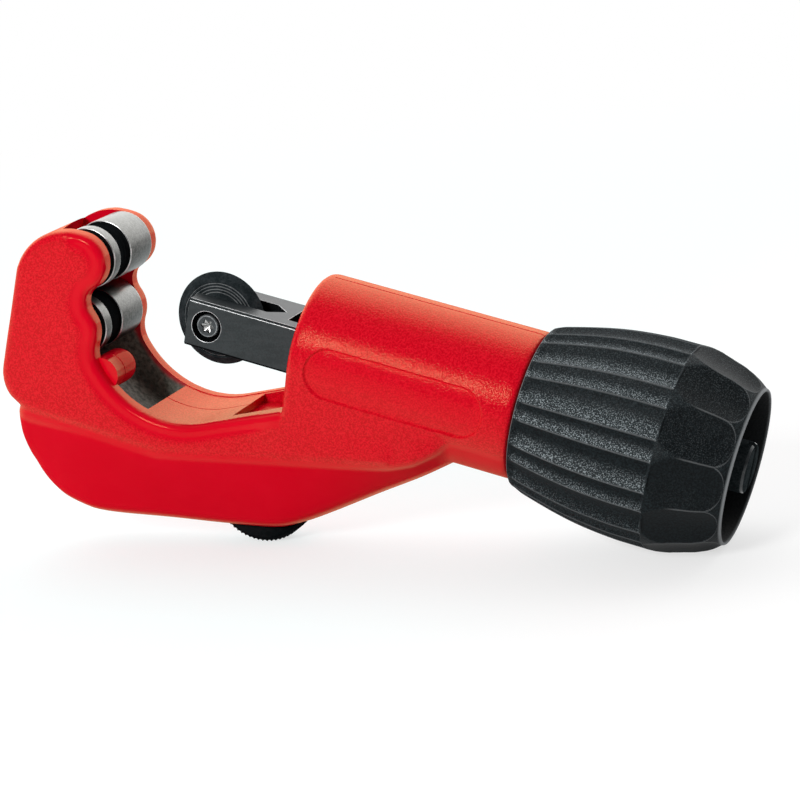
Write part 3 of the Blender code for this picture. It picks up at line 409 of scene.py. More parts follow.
def rise(low, high, value):
    """0 below low, 1 above high and smooth between."""
    t = np.clip((value - low) / (high - low), 0, 1)
    return t * t * (3 - 2 * t)


FLARE = 0.7
KEEL_FULL = 0.86
KEEL_DRAFT = 0.94
KEEL_ROUND = 2.6
SADDLE_ROUND = 0.8
NECK_ROUND = 0.4
VALLEY_DEPTH = 0.4
VALLEY_WIDTH = 0.8


def casting_field(x, z, y):
    """Signed distance to the bare casting, for X and Z on a flat grid and y measured outwards."""
    deep = (slice(None), slice(None), None)
    wide = JAW_HALF + 0.05
    from_lip = distance_to(throat_line(), x, z, closed=False)
    border = 1 - rise(BORDER_WIDTH - 0.45, BORDER_WIDTH + 0.25, from_lip)
    half = JAW_HALF - BORDER_SINK * (border * (1 - rise(-6, -1, x)))
    flare = FLARE * rise(-12, 0.5, x) * rise(-24, -12, z)
    from_jaw = distance_to(jaw_outline(), x, z)
    plate = rounded(from_jaw[deep], y - (half + flare)[deep], EDGE_ROUND)

    crease = np.interp(x, *zip(*flowing(CREASE_LINE)))
    keel_line = flowing(KEEL_LINE)
    bottom = np.interp(x, *zip(*keel_line))
    foot = np.interp(x, *zip(*KEEL_FOOT)) + 0.6
    depth = crease - z
    share = np.clip(depth / np.maximum(crease - bottom, 1.0) / KEEL_FULL, 0, 1.2)
    taper = np.where(depth > 0, wide + (foot - wide) * share, wide + 0.5 * depth)
    keel_outline = [(px, pz + 4) for px, pz in CREASE_LINE] + keel_line[::-1]
    from_keel = distance_to(keel_outline, x, z)
    keel = rounded(from_keel[deep], (y - taper[deep]) * KEEL_DRAFT, KEEL_ROUND)

    foot_z = np.interp(x, *zip(*SADDLE_LINE))
    top_half = BARREL_RADIUS - 0.05
    slope = top_half + (wide - top_half) * np.clip(z / foot_z, 0, 1)
    saddle_outline = SADDLE_LINE + [(SADDLE_LINE[-1][0], 0), (SADDLE_LINE[0][0], 0)]
    from_saddle = distance_to(saddle_outline, x, z)
    saddle = rounded(from_saddle[deep], y - slope[deep], SADDLE_ROUND)

    radial = np.hypot(y, z[deep])
    front_round, rear_round = BARREL_ROUNDS
    front = rounded(radial - BARREL_RADIUS, -x[deep], front_round)
    rear = rounded(radial - BARREL_RADIUS, (x - BARREL_LENGTH)[deep], rear_round)
    barrel = np.maximum(front, rear)
    past_neck = np.abs(x - NECK_MIDDLE) - NECK_HALF
    neck = rounded(radial - NECK_RADIUS, past_neck[deep], NECK_ROUND)

    field = np.minimum.reduce([plate, keel, saddle, barrel, neck])
    valley = np.exp(-((z - crease) / VALLEY_WIDTH) ** 2) * (1 - rise(-44, -8, x))
    return field + VALLEY_DEPTH * valley[deep]


def eased(field):
    """The field blurred over its neighbours, which softens edges and corners as on a cast skin."""
    for axis in range(3):
        padded = np.concatenate((field.take([0], axis), field, field.take([-1], axis)), axis)
        size = field.shape[axis]
        before, after = padded.take(range(size), axis), padded.take(range(2, size + 2), axis)
        field = (before + 2 * field + after) / 4
    return field


CELL = 0.455
GRID_X = (-63.4, 68.4)
GRID_Z = (-48.4, 16.6)
GRID_Y = (0, 16.6)


def bare_casting():
    """The casting's outside as a fine mesh, with the sunk panel on the barrel."""
    xs, zs, ys = (np.arange(low, high, CELL) for low, high in (GRID_X, GRID_Z, GRID_Y))
    x, z = np.meshgrid(xs, zs, indexing="ij")
    half = casting_field(x, z, ys[None, None, :])
    field = eased(np.concatenate((half[:, :, :0:-1], half), axis=2)).astype(np.float32)
    grid = openvdb.FloatGrid()
    grid.copyFromArray(np.ascontiguousarray(field))
    points, faces = grid.convertToQuads(0.0)
    points = points * CELL + np.array((xs[0], zs[0], -ys[-1]))
    shape = mesh_object("casting", points[:, (0, 2, 1)], faces)
    edited(shape.data, press_panel)
    return shape


def panel_distance(x, z):
    """Distance to the edge of the barrel's long panel, negative inside it."""
    start, end, middle, half = PANEL
    near = np.clip(x, start + half, end - half)
    return np.hypot(x - near, z - middle) - half


PANEL_SIDE = -8
PANEL_BAND = 0.75
PANEL_SOFT = 0.18


def press_panel(bm):
    """Sink the panel into the skin, with finer faces along its edge."""
    spots = np.array([v.co for v in bm.verts])
    far = np.abs(panel_distance(spots[:, 0], spots[:, 2]))
    at_edge = (spots[:, 1] < PANEL_SIDE) & (far < PANEL_BAND)
    edges = [e for e in bm.edges if all(at_edge[v.index] for v in e.verts)]
    bmesh.ops.subdivide_edges(bm, edges=edges, cuts=2, use_grid_fill=True)
    for vert in bm.verts:
        if vert.co.y < PANEL_SIDE:
            inside = 1 - rise(-PANEL_SOFT, PANEL_SOFT, panel_distance(vert.co.x, vert.co.z))
            vert.co.y += PANEL_SINK * inside


def roller_pockets():
    """Room between the cheeks for the rollers, the bare hollow below and the slanted opening."""
    clear = ROLLER_RADIUS + 1.0
    back = JAW_BACK + 6.6
    top = ROLLER_Z + 3 * ROLLER_RADIUS
    lap = 0.05
    behind, over = radians(160), radians(118)
    upper = [(back, BARE_Z - lap), (back, ROLLER_Z)]
    upper += arc((ROLLER_X, ROLLER_Z), ROLLER_RADIUS + 0.5, behind, over, 12)
    upper += [(upper[-1][0], top), (THROAT_X, top), (THROAT_X, BARE_Z - lap)]
    first, last = POCKET_EDGE - radians(5), radians(-135)
    lip_x, lip_z = THROAT_RADIUS * cos(POCKET_EDGE), THROAT_RADIUS * sin(POCKET_EDGE)
    lower = [(THROAT_X, BARE_Z), (THROAT_X + lip_x, lip_z)]
    lower += arc((THROAT_X, 0), THROAT_RADIUS + 5.5, first, last, 24)
    lower += [(ROLLER_X - 0.3 * clear, -ROLLER_Z - 1.35 * clear), (back, -ROLLER_Z - 0.5 * clear),
              (back, BARE_Z)]
    plan = [(-53.0, -POCKET_HALF), (-57.4, POCKET_HALF), (ROLLER_X, POCKET_HALF),
            (ROLLER_X, -POCKET_HALF)]
    points = [(x, y, z) for z in (ROLLER_Z + 1.0, top) for x, y in plan]
    return [
        prism("pocket", upper, -POCKET_HALF, POCKET_HALF),
        prism("hollow", lower, -POCKET_HALF, POCKET_HALF),
        mesh_object("slanted_opening", points, ring_faces(2, len(plan))),
    ]


def throat_skim(name, depth, half):
    """A shallow pass over the throat's floor, from the pocket up to the barrel."""
    start, end = POCKET_EDGE - radians(2), RAMP - pi / 2
    centre, clear = (THROAT_X, 0), 1.5
    bed = arc(centre, THROAT_RADIUS + depth, start, end, 40) + [(ROOT_X, ramp_z(ROOT_X) - depth)]
    above = [(ROOT_X, ramp_z(ROOT_X) + clear)] + arc(centre, THROAT_RADIUS - clear, end, start, 40)
    return prism(name, bed + above, -half, half)


def boss():
    """Rounded stub on the front cheek, with a fine joint line round its root."""
    end, line = -POCKET_HALF + BOSS_LENGTH, -POCKET_HALF + 2.4
    line_half, line_depth = 0.14, 0.3
    profile = [
        (-POCKET_HALF - 1, BOSS_RADIUS), (line - line_half, BOSS_RADIUS),
        (line, BOSS_RADIUS - line_depth), (line + line_half, BOSS_RADIUS), (end, BOSS_RADIUS),
        (end + 0.5, 0.4),
    ]
    return turned("boss", softened(profile, {4: 2.4}, 8), 96, "Y", BOSS_PLACE, bored=False)


def blade_point(along, across):
    """Point of the stowed blade from its pivot."""
    way = Vector((-cos(BLADE_TILT), -sin(BLADE_TILT)))
    side = Vector((-way.y, way.x))
    return tuple(Vector(HUB) + way * along - side * across)


def bare_faces(x, y, z):
    """Which faces of the casting are cut metal without a coat, in the pocket and the bores."""
    in_pocket = (x < -20) & (z > -26) & (z < BARE_Z)
    in_bores = (x > -4) & (z > -12)
    near = (np.abs(y) < POCKET_HALF + 0.05) & (in_pocket | in_bores)
    depth = casting_field(x[near, None], z[near, None], np.abs(y[near])[:, None, None])
    bare = np.zeros(len(x), bool)
    bare[near] = depth[:, 0, 0] < -0.45
    return bare


def coat_grain(x, y, z):
    """How grainy the coat is: smooth on the throat's lip and the keel, softer on the panel."""
    from_lip = np.where(x < 0.5, distance_to(throat_line(), x, z, closed=False), 9.0)
    over_crease = z - np.interp(x, *zip(*CREASE_LINE))
    grain = rise(BORDER_WIDTH - 0.6, BORDER_WIDTH + 0.3, from_lip) * rise(-0.2, 0.5, over_crease)
    inner = (x < 0) & (np.abs(y) < JAW_HALF - 1.3) & (z > -THROAT_RADIUS - 1)
    floor_start = THROAT_X + THROAT_RADIUS * cos(POCKET_EDGE) - 0.3
    grain = np.where(inner, np.where(x > floor_start, 1.0, 0.0), grain)
    return grain * np.where(y < 0, 0.8 + 0.2 * rise(-0.2, 0.2, panel_distance(x, z)), 1.0)


def coat_shine(x, y, z):
    """How strong the coat's shine is: full above the crease and at the keel's foot, low between."""
    over_crease = z - np.interp(x, *zip(*CREASE_LINE))
    above = rise(-1.8, -0.5, over_crease + 1.1 * (1 - rise(-56, -38, x)))
    under = 1 - rise(0.6, 2.0, z - np.interp(x, *zip(*flowing(KEEL_LINE))))
    shine = np.maximum.reduce([np.full(len(x), 0.1), above, under, 0.6 * rise(30, 36, x)])
    shine *= 1 - 0.4 * rise(24, 32, x) * (1 - rise(-10, -5, z))
    on_boss = (from_boss(x, z) < BOSS_RADIUS + 0.2) & (np.abs(y) < POCKET_HALF)
    return np.where(on_boss, 0.4, shine)


def from_boss(x, z):
    """Distance from the boss's axis."""
    return np.hypot(x - BOSS_PLACE[0], z - BOSS_PLACE[2])


def dress_casting(mesh):
    """Mark bare metal and the boss, which takes a darker red as painted shade, on the faces, and
    the coat's grain and shine on the points.
    """
    x, y, z = coordinates(mesh.polygons, "center")
    along = y + POCKET_HALF
    on_boss = (from_boss(x, z) < BOSS_RADIUS + 0.1) & (along > 0.02) & (along < BOSS_LENGTH + 0.1)
    # the boss takes the darker shaded copy of the red coat, as painted shade
    chosen = np.where(on_boss, 2, bare_faces(x, y, z)).astype(np.int32)
    mesh.polygons.foreach_set("material_index", chosen)
    spots = coordinates(mesh.vertices, "co")
    mark(mesh, grain=coat_grain(*spots), shine=coat_shine(*spots))


def casting(finish):
    """The red casting with everything that is cut into it."""
    shape = bare_casting()
    half_width, half_height, end = CHANNEL
    wheel_reach = WHEEL_RADIUS + 0.6
    beyond = 33
    recess = [(-11.8, -4.2), (-11.8, ramp_z(-11.8) - 2.0), (6.0, ramp_z(0) - 2.0), (6.0, -4.2)]
    corners = ((0, 5.0), (36.5, 5.0), (36.5, -20), (0, -20))
    blade = [blade_point(*spot) for spot in corners]
    steps = [("DIFFERENCE", room) for room in roller_pockets()] + [("UNION", boss())]
    steps += [("DIFFERENCE", cut) for cut in (
        throat_skim("floor_pass", 0.14, POCKET_HALF),
        throat_skim("parting_line", 0.38, 0.16),
        box("crest_seam", (2.2, -0.19, BARREL_RADIUS - 0.42), (47, 0.19, BARREL_RADIUS + 2)),
        box("channel", (-5, -half_width, -half_height), (end, half_width, half_height)),
        box("wheel_room", (-5, -3.1, -wheel_reach), (11.9, 3.1, wheel_reach)),
        prism("recess", recess, -7.9, 7.9),
        rod("counterbore", 9.3, end - 0.1, NECK_END + 20, "X"),
        *(rod("axle_hole", 2.8, -POCKET_HALF - 2.3, beyond, "Y", (ROLLER_X, 0, z))
          for z in (ROLLER_Z, -ROLLER_Z)),
        rod("stop_hole", 2.3, 0, beyond + 2, "Y", (STOP_X, 0, 0)),
        rod("thumb_slot", THUMB_RADIUS + 0.6, -3.9, 3.9, "Y", HUB_PLACE, 96),
        prism("blade_slot", blade, -2.1, 2.1),
        rod("pin_hole", 2.3, -6.3, beyond, "Y", HUB_PLACE),
    )]
    shape = worked(shape, steps)
    edited(shape.data, clear_specks)
    dress_casting(shape.data)
    seat(shape, "frame", finish, ["body"])


# ---- rollers, wheel and slide


def roller(name, z, finish):
    """A guide roller: black shoulder, narrow land, flare groove and wide land."""
    low, slack = ROLLER_RADIUS - 0.7, 0.05
    land_start, land_end = NARROW_LAND
    profile = [
        (-ROLLER_HALF, ROLLER_BORE), (-ROLLER_HALF, low), (land_start, low),
        (land_start, ROLLER_RADIUS), (land_end, ROLLER_RADIUS), (land_end, low), (WIDE_LAND, low),
        (WIDE_LAND, ROLLER_RADIUS), (ROLLER_HALF, ROLLER_RADIUS), (ROLLER_HALF, ROLLER_BORE),
    ]
    profile = softened(profile, {1: 0.3, 3: 0.2, 4: 0.2, 7: 0.2, 8: 0.35})
    shape = turned(name + "_ground", profile, 128, "Y", (ROLLER_X, 0, z))
    for face in shape.data.polygons:
        along = face.center.y
        out = hypot(face.center.x - ROLLER_X, face.center.z - z)
        broken = ROLLER_RADIUS - 0.16 < out < ROLLER_RADIUS - 0.006
        shoulder = -ROLLER_HALF + slack < along < land_start + slack
        groove = land_end - slack < along < WIDE_LAND + slack
        # the rounded land edges take the bright finish as a painted highlight; the shoulder and
        # groove are black oxide
        face.material_index = 2 if broken else int(shoulder or groove)
    seat(shape, name, finish, [name])


def cutting_wheel(finish):
    """Bevelled disc with a raised hub and turned rings."""
    hub, web = 2.3, 1.5
    half = [(hub, WHEEL_BORE), (hub, 4.5), (2.05, 4.75), (web, 5.2)]
    for ring in WHEEL_RINGS:
        half += [(web, ring - RING_HALF), (web - 0.14, ring), (web, ring + RING_HALF)]
    half += [(web, 7.9), (1.3, 8.15), (0.12, 9.44), (0.06, WHEEL_RADIUS)]
    profile = half + [(-along, radius) for along, radius in reversed(half)]
    shape = turned("cutting_disc", profile, 160, "Y", (WHEEL_X, 0, 0), smooth_angle=25)
    for face in shape.data.polygons:
        out = hypot(face.center.x - WHEEL_X, face.center.z)
        # painted highlight: faces in each turned ring groove take the paler ring finish
        face.material_index = int(any(ring - RING_HALF < out < ring for ring in WHEEL_RINGS))
    seat(shape, "wheel", finish, ["cutter_wheel"])


def wheel_screw(finish):
    """Six-lobe screw that carries the wheel."""
    def lobes(angles):
        return 1.2 + 0.2 * np.cos(6 * angles)

    top, head, shank, socket_rim = -SLIDE_HALF[0] + 0.4, 2.3, 1.5, 1.95
    profile = [
        (top + 1.1, 0.1), (top + 0.5, lobes), (top, lobes), (top, socket_rim), (top + 0.06, 2.15),
        (top + 0.3, head), (top + 1.5, head), (top + 1.5, shank), (SLIDE_HALF[0] - 1.2, shank),
    ]
    shape = turned("wheel_screw_head", profile, 96, "Y", (WHEEL_X, 0, 0), bored=False)
    for face in shape.data.polygons:
        out = hypot(face.center.x - WHEEL_X, face.center.z)
        wall = out < 1.42 and abs(face.normal.y) < 0.3
        drilled = out < 1.3 and face.center.y > top + 0.3 and not wall
        rim = face.center.y < top + 0.2 and out > socket_rim + 0.01
        # the head's rim takes the pale ring finish as a painted highlight, and the socket wall the
        # darkest black as painted shade
        face.material_index = 3 if drilled else 2 if wall else int(rim)
    seat(shape, "slide", finish, ["wheel_screw"])


def slide_section(inset):
    """Outline across the bar: a chamfer at each corner, with a narrow facet along both its edges
    that slide() paints as a highlight.
    """
    wide, tall = SLIDE_HALF[0] - inset, SLIDE_HALF[1] - inset
    turn = [
        (wide, tall - SLIDE_CHAMFER - EDGE_WEAR), (wide - EDGE_DROP, tall - SLIDE_CHAMFER),
        (wide - SLIDE_CHAMFER, tall - EDGE_DROP), (wide - SLIDE_CHAMFER - EDGE_WEAR, tall),
    ]
    outline = []
    for side_y, side_z in ((1, 1), (-1, 1), (-1, -1), (1, -1)):
        way = turn if side_y == side_z else reversed(turn)
        outline += [(side_y * y, side_z * z) for y, z in way]
    return outline


def flared_cut(name, outline, bottom):
    """A cut down from the slide's top, its edge flared wider by a narrow facet; outline(grow) is
    its plan.
    """
    top = SLIDE_HALF[1]
    rows = ((bottom, 0), (top - EDGE_DROP, 0), (top, EDGE_WEAR), (top + 2, EDGE_WEAR))
    points = [(x, y, z) for z, grow in rows for x, y in outline(grow)]
    return mesh_object(name, points, ring_faces(len(rows), len(outline(0))))


def wheel_slot(grow):
    """Plan of the slide's slot for the wheel, open at the front and pointed at the back."""
    half, front = 2.8 + grow, SLIDE_FRONT - 2
    shoulder, tip = WHEEL_X + 10.5 + 0.4 * grow, WHEEL_X + 13.5 + 1.4 * grow
    return [(front, -half), (shoulder, -half), (tip, 0), (shoulder, half), (front, half)]


def oil_pocket(grow):
    """Plan of the shallow pocket behind the slot."""
    begin, half = WHEEL_X + 15.6 - grow, 3.9 + grow
    return [(begin, -half), (begin + 7, -half), (begin + 7, half), (begin, half)]


def slide(finish):
    """Bar that carries the wheel, with its slot, screw seat, pocket, spindle hole and groove."""
    wide, tall = SLIDE_HALF
    flat_angle = 12
    rows = ((SLIDE_FRONT, EDGE_WEAR), (SLIDE_FRONT + EDGE_DROP, 0),
            (SLIDE_REAR - EDGE_DROP, 0), (SLIDE_REAR, EDGE_WEAR))
    points = [(x, y, z) for x, inset in rows for y, z in slide_section(inset)]
    section_size = len(slide_section(0))
    shape = mesh_object("slide_bar", points, ring_faces(len(rows), section_size), flat_angle)
    place = (WHEEL_X, 0, 0)
    mouth = [(-wide - 2, SEAT_RADIUS + EDGE_WEAR), (-wide, SEAT_RADIUS + EDGE_WEAR),
             (-wide + EDGE_DROP, SEAT_RADIUS), (-wide + 2.2, SEAT_RADIUS)]
    cuts = (
        flared_cut("slot", wheel_slot, -tall - 2),
        flared_cut("oil_pocket", oil_pocket, tall - 1.2),
        turned("screw_seat", mouth, 96, "Y", place, bored=False),
        rod("screw_hole", 1.75, -wide - 2, wide - 0.9, "Y", place),
        rod("spindle_hole", 3.5, -5.2, SLIDE_REAR + 2, "X"),
        box("stop_groove", (-9.4, wide - 1.6, -1.8), (26.9, wide + 2, 1.8)),
    )
    shape = worked(shape, [("DIFFERENCE", cut) for cut in cuts], flat_angle)
    for face in shape.data.polygons:
        x, y, z = face.center
        from_screw = hypot(x - WHEEL_X, z)
        seat_wall = from_screw < SEAT_RADIUS + 0.05 and -wide + 0.05 < y < -wide + 2.4
        bore = hypot(y, z) < 3.6 and x > -6
        sunk = abs(z) < tall - 0.1 and abs(y) < 4.2 and not bore
        slant = sorted(abs(part) for part in face.normal)[1]
        # the narrow edge facets take the pale edge finish as a painted highlight
        worn = 0.2 < slant < 0.6 and not bore and z > -3.3
        # the underside, the screw seat's wall and the walls of the slot and pocket take the darkest
        # black as painted shade
        below = z < -tall + 0.5 and face.normal.z < -0.1
        face.material_index = 2 if seat_wall or below or sunk and not worn else int(worn)
    seat(shape, "slide", finish, ["cutter_slide"])


# ---- grip

GRIP_KNOTS = [
    (0.0, 15.75), (0.06, 16.77), (0.30, 19.065), (0.52, 20.0), (0.71, 20.0), (0.87, 18.436),
    (0.95, 16.642), (0.985, 15.4),
]
GRIP_LIMIT = 20.03
PETALS = 12
RIDGE = 0.6
FLUTE_STOP = 0.668
FLUTE_DEPTHS = (1.15, 0.8)
PETAL_SPREAD = [
    (0.672, 0.0), (0.676, 0.56), (0.69, 0.68), (0.71, 0.80), (0.74, 0.93), (0.78, 1.04),
    (0.83, 1.08), (0.90, 1.06), (0.93, 1.0), (0.95, 0.90), (0.965, 0.75), (0.975, 0.56),
    (0.981, 0.32), (0.985, 0.0),
]
PETAL_SINK = 1.2
HEXAGON_RADIUS = 4.45


def grip_radius(share):
    """Outer radius of the grip along its length."""
    shares, radii = (np.array(column) for column in zip(*GRIP_KNOTS))
    order, last = np.arange(len(shares)), len(shares) - 1
    index = np.clip(np.searchsorted(shares, share) - 1, 0, last - 1)
    low, high = np.maximum(order - 1, 0), np.minimum(order + 1, last)
    slopes = (radii[high] - radii[low]) / (shares[high] - shares[low])
    span = shares[index + 1] - shares[index]
    t = (share - shares[index]) / span
    start, end = radii[index], radii[index + 1]
    return ((2 * t ** 3 - 3 * t ** 2 + 1) * start + (t ** 3 - 2 * t ** 2 + t) * span * slopes[index]
            + (-2 * t ** 3 + 3 * t ** 2) * end + (t ** 3 - t ** 2) * span * slopes[index + 1])


def petal_turn(angles):
    """-1 to 1 from one side of each petal to the other, 0 in its middle."""
    half = pi / PETALS
    return ((angles + half) % (2 * half) - half) / half


def grip_skin(share):
    """Radius of the grip at angles round one ring, with its flutes and petal scoops."""
    base = min(float(grip_radius(np.array([share]))[0]), GRIP_LIMIT)
    stop = rise(FLUTE_STOP - 0.014, FLUTE_STOP + 0.002, share)
    flute = float(rise(0.0, 0.04, share) * (1 - stop))
    spread = float(np.interp(share, *zip(*PETAL_SPREAD)))

    def reach(angles):
        swing = np.abs(petal_turn(angles))
        wide = FLUTE_DEPTHS[0] * (1 - (swing / RIDGE) ** 2)
        narrow = FLUTE_DEPTHS[1] * (1 - ((1 - swing) / (1 - RIDGE)) ** 2)
        groove = flute * np.where(swing < RIDGE, wide, narrow)
        scoop = PETAL_SINK * np.maximum(0, spread ** 2 - swing ** 2)
        return base - groove - scoop

    return reach


def hexagon(angles):
    """Radius of the spindle's hexagon seat at angles round it."""
    off = (angles + pi / 6) % (pi / 3) - pi / 6
    return HEXAGON_RADIUS * cos(pi / 6) / np.cos(off)


def grip(finish):
    """The fluted grip with its hollow front, hexagon hub and open rear end."""
    stretches = ((0.006, 0.05, 12), (0.07, 0.64, 36), (0.65, 0.70, 32), (0.706, 0.93, 40),
                 (0.933, 0.985, 32))
    shares = np.concatenate([np.linspace(*stretch) for stretch in stretches])
    end = HANDLE_X + HANDLE_LENGTH - 0.002
    floor_x, hub_x, hollow = 81.5, 71.0, 12.0
    profile = [(HANDLE_X, 15.4), (HANDLE_X + 0.08, 15.6)]
    profile += [(HANDLE_X + s * HANDLE_LENGTH, grip_skin(s)) for s in shares]
    profile += [
        (end - 0.25, 15.28), (end - 0.06, 15.15), (end, 15.0), (end - 0.05, 14.8),
        (end - 0.6, MOUTH_RADIUS), (floor_x + 0.2, 14.2), (floor_x, 14.0), (floor_x, hexagon),
        (hub_x, hexagon), (hub_x, hollow), (HANDLE_X + 0.3, hollow), (HANDLE_X, hollow + 0.3),
    ]
    shape = turned("grip", profile, 480, "X", smooth_angle=24)
    dress_grip(shape.data)
    seat(shape, "drive", finish, ["handle"])


def dress_grip(mesh):
    """Mark petals, painted edge highlights, the painted light on one side of each flute and the
    hollow on the points.
    """
    x, y, z = coordinates(mesh.vertices, "co")
    share = (x - HANDLE_X) / HANDLE_LENGTH
    out = np.hypot(y, z)
    turn = petal_turn(np.arctan2(z, y))
    swing = np.abs(turn)
    spread = np.interp(share, *zip(*PETAL_SPREAD))
    outside = out > MOUTH_RADIUS + 0.1
    fluted = (share < FLUTE_STOP) * outside
    petal = rise(0.0, 0.06, spread - swing) * outside

    # painted light: from each ridge to the next the flute grows paler, so one side looks lit and
    # the side after each ridge looks shaded
    wide, narrow = (turn + RIDGE) / (2 * RIDGE), ((turn - RIDGE) % 2) / (2 - 2 * RIDGE)
    across = np.where(swing < RIDGE, wide, narrow)
    on_ridge = 1 - rise(0.01, 0.05, np.abs(swing - RIDGE))
    worn = rise(0.25, 0.85, across) * (1 - on_ridge) * fluted

    # painted highlights: thin pale lines along the petal edges, the flute ridges and the front and
    # rear rims, standing for light on rounded edges
    petal_edge = 1 - rise(0.012, 0.04, np.abs(np.minimum(spread, 1.0) - swing))
    petal_edge *= 0.42 * rise(0.75, 0.82, share) * (share < 0.984) * outside
    ridge_edge = 0.45 * on_ridge * rise(0.02, 0.05, share) * fluted
    front_edge = ((share < 0.004) & (out > 15.3)) * 0.8
    rear_edge = ((share > 0.988) & outside) * 1.0
    edge = np.maximum.reduce([petal_edge, ridge_edge, front_edge, rear_edge])

    # painted shade: inside the open rear end the grip is made nearly black
    hollow = ((out < MOUTH_RADIUS + 0.05) & (share > 0.5)) * 1.0
    mark(mesh, petal=petal, edge=edge, worn=worn, hollow=hollow)


def grip_screw(finish):
    """Slotted stub in the grip's open end, with a paler painted highlight round its rim."""
    shank, head, start, shoulder, end = 1.6, 5.0, 73.9, 82.9, 90.1
    profile = [(start, shank), (shoulder, shank), (shoulder, head), (end, head), (end, 0.3)]
    profile = softened(profile, {2: 0.3, 3: 1.1}, 6)
    shape = turned("grip_screw_stub", profile, 96, "X", bored=False)
    slot = box("stub_slot", (end - 1.8, -0.8, -head - 1), (end + 1.9, 0.8, head + 1))
    shape = worked(shape, [("DIFFERENCE", slot)])
    for face in shape.data.polygons:
        # painted highlight: the rounded rim at the end takes the paler screw finish
        face.material_index = int(face.center.x > end - 1.2 and 0.25 < face.normal.x < 0.75)
    seat(shape, "drive", finish, ["handle_screw"])


# ---- deburrer


def thumb_wheel(finish):
    """Serrated disc that swings the deburrer out."""
    def teeth(angles):
        return THUMB_RADIUS - 0.3 * np.abs(np.sin(34 * angles)) ** 0.8

    bore, face, rim, blade_half, root_half = 2.25, 9.6, 9.8, 1.8, 4.7
    profile = [(-3.0, bore), (-3.0, face), (-2.8, rim), (-2.45, teeth), (2.45, teeth), (2.8, rim),
               (3.0, face), (3.0, bore)]
    shape = turned("thumb_disc", profile, 612, "Y", HUB_PLACE, smooth_angle=30)
    eye = rod("blade_eye", 6.3, -blade_half, blade_half, "Y", HUB_PLACE)
    corners = ((0, root_half), (12.6, root_half), (12.6, -root_half), (0, -root_half))
    root = prism("blade_root", [blade_point(*spot) for spot in corners], -blade_half, blade_half)
    shape = worked(shape, [("DIFFERENCE", eye), ("DIFFERENCE", root)], 30)
    seat(shape, "deburrer", finish, ["deburrer_thumb_wheel"])


# ---- finishes


class Wire:
    """A socket of a node tree. Sums on it add Math nodes, and add() brings in any other node."""

    def __init__(self, tree, socket=None):
        self.tree, self.socket = tree, socket

    def add(self, kind, settings=None, output=0, **values):
        node = self.tree.nodes.new("ShaderNode" + kind)
        for key, value in (settings or {}).items():
            setattr(node, key, value)
        for key, value in values.items():
            counted = key[0] == "i" and key[1:].isdigit()
            socket = node.inputs[int(key[1:]) if counted else key.replace("_", " ")]
            if isinstance(value, Wire):
                self.tree.links.new(value.socket, socket)
            else:
                socket.default_value = value
        return Wire(self.tree, node.outputs[output])

    def sum(self, operation, one, two):
        return self.add("Math", {"operation": operation}, i0=one, i1=two)

    def __add__(self, other):
        return self.sum("ADD", self, other)

    def __radd__(self, other):
        return self.sum("ADD", other, self)

    def __sub__(self, other):
        return self.sum("SUBTRACT", self, other)

    def __rsub__(self, other):
        return self.sum("SUBTRACT", other, self)

    def __mul__(self, other):
        return self.sum("MULTIPLY", self, other)

    def __rmul__(self, other):
        return self.sum("MULTIPLY", other, self)

    def __truediv__(self, other):
        return self.sum("DIVIDE", self, other)

    def __pow__(self, other):
        return self.sum("POWER", self, other)


def between(wire, low, high):
    """A value's smooth rise from 0 at low to 1 at high."""
    return wire.add("MapRange", {"interpolation_type": "SMOOTHSTEP"}, Value=wire, i1=low, i2=high)


def blend(wire, share, one, two):
    """A colour between two."""
    return wire.add("Mix", {"data_type": "RGBA"}, 2, i0=share, i6=one, i7=two)


def noise(wire, place, scale, detail=2.0, rough=0.5):
    """Even noise at a scale in features per metre."""
    return wire.add("TexNoise", None, 0, Vector=place, Scale=scale, Detail=detail, Roughness=rough)


def vector(wire, operation, output=0, **values):
    """Any sum on vectors."""
    return wire.add("VectorMath", {"operation": operation}, output, **values)


def marked(wire, name):
    """A value that the mesh holds at each point."""
    return wire.add("Attribute", {"attribute_name": name}, "Fac")


def facing_up(wire):
    """How far a face looks up, from -1 to 1."""
    return wire.add("SeparateXYZ", None, 2, Vector=wire.add("NewGeometry", None, "Normal"))


def relief(wire, height, distance, strength=1.0):
    """A bumped normal; distance is the height of the bumps in metres."""
    return wire.add("Bump", None, 0, Strength=strength, Distance=distance, Height=height)


GRAZING_POWER = 1.7


def finish_of(name, build, gloss=None, **fixed):
    """A finish. build(start, place) gives what varies, by shader socket; fixed sockets are numbers.

    gloss is a tinted shine over it that grows towards the grazing view: its share of the light
    face-on and at grazing, its colour and roughness. build may give its strength as "Shine".
    """
    material = bpy.data.materials.new(name)
    material.use_nodes = True
    tree = material.node_tree
    shader = tree.nodes["Principled BSDF"]
    start = Wire(tree)
    place = start.add("TexCoord", None, "Object")
    for key, value in fixed.items():
        shader.inputs[key.replace("_", " ")].default_value = value
    varying = build(start, place)
    strength = varying.pop("Shine", 1.0)
    for key, wire in varying.items():
        tree.links.new(wire.socket, shader.inputs[key.replace("_", " ")])
    if gloss:
        direct, grazing, tint, roughness = gloss
        bumped = {"Normal": varying["Normal"]}
        turn = start.add("LayerWeight", None, "Facing", Blend=0.5, **bumped)
        share = (direct + grazing * turn ** GRAZING_POWER) * strength
        shine = start.add("BsdfAnisotropic", Color=(*tint, 1), Roughness=roughness, **bumped)
        both = start.add("MixShader", i0=share, i1=Wire(tree, shader.outputs[0]), i2=shine)
        tree.links.new(both.socket, tree.nodes["Material Output"].inputs[0])
    return material


COAT_SMOOTH = ((0.69, 0.0006, 0.0145, 1), (0.72, 0.0016, 0.0175, 1))
COAT_PEBBLED = ((0.575, 0.0002, 0.0105, 1), (0.76, 0.0065, 0.022, 1))
COAT_GLOSS = (0.0066, 0.3, (1.0, 0.7, 0.38), 0.15)
NO_LIGHT = (0, 0, 0, 1)


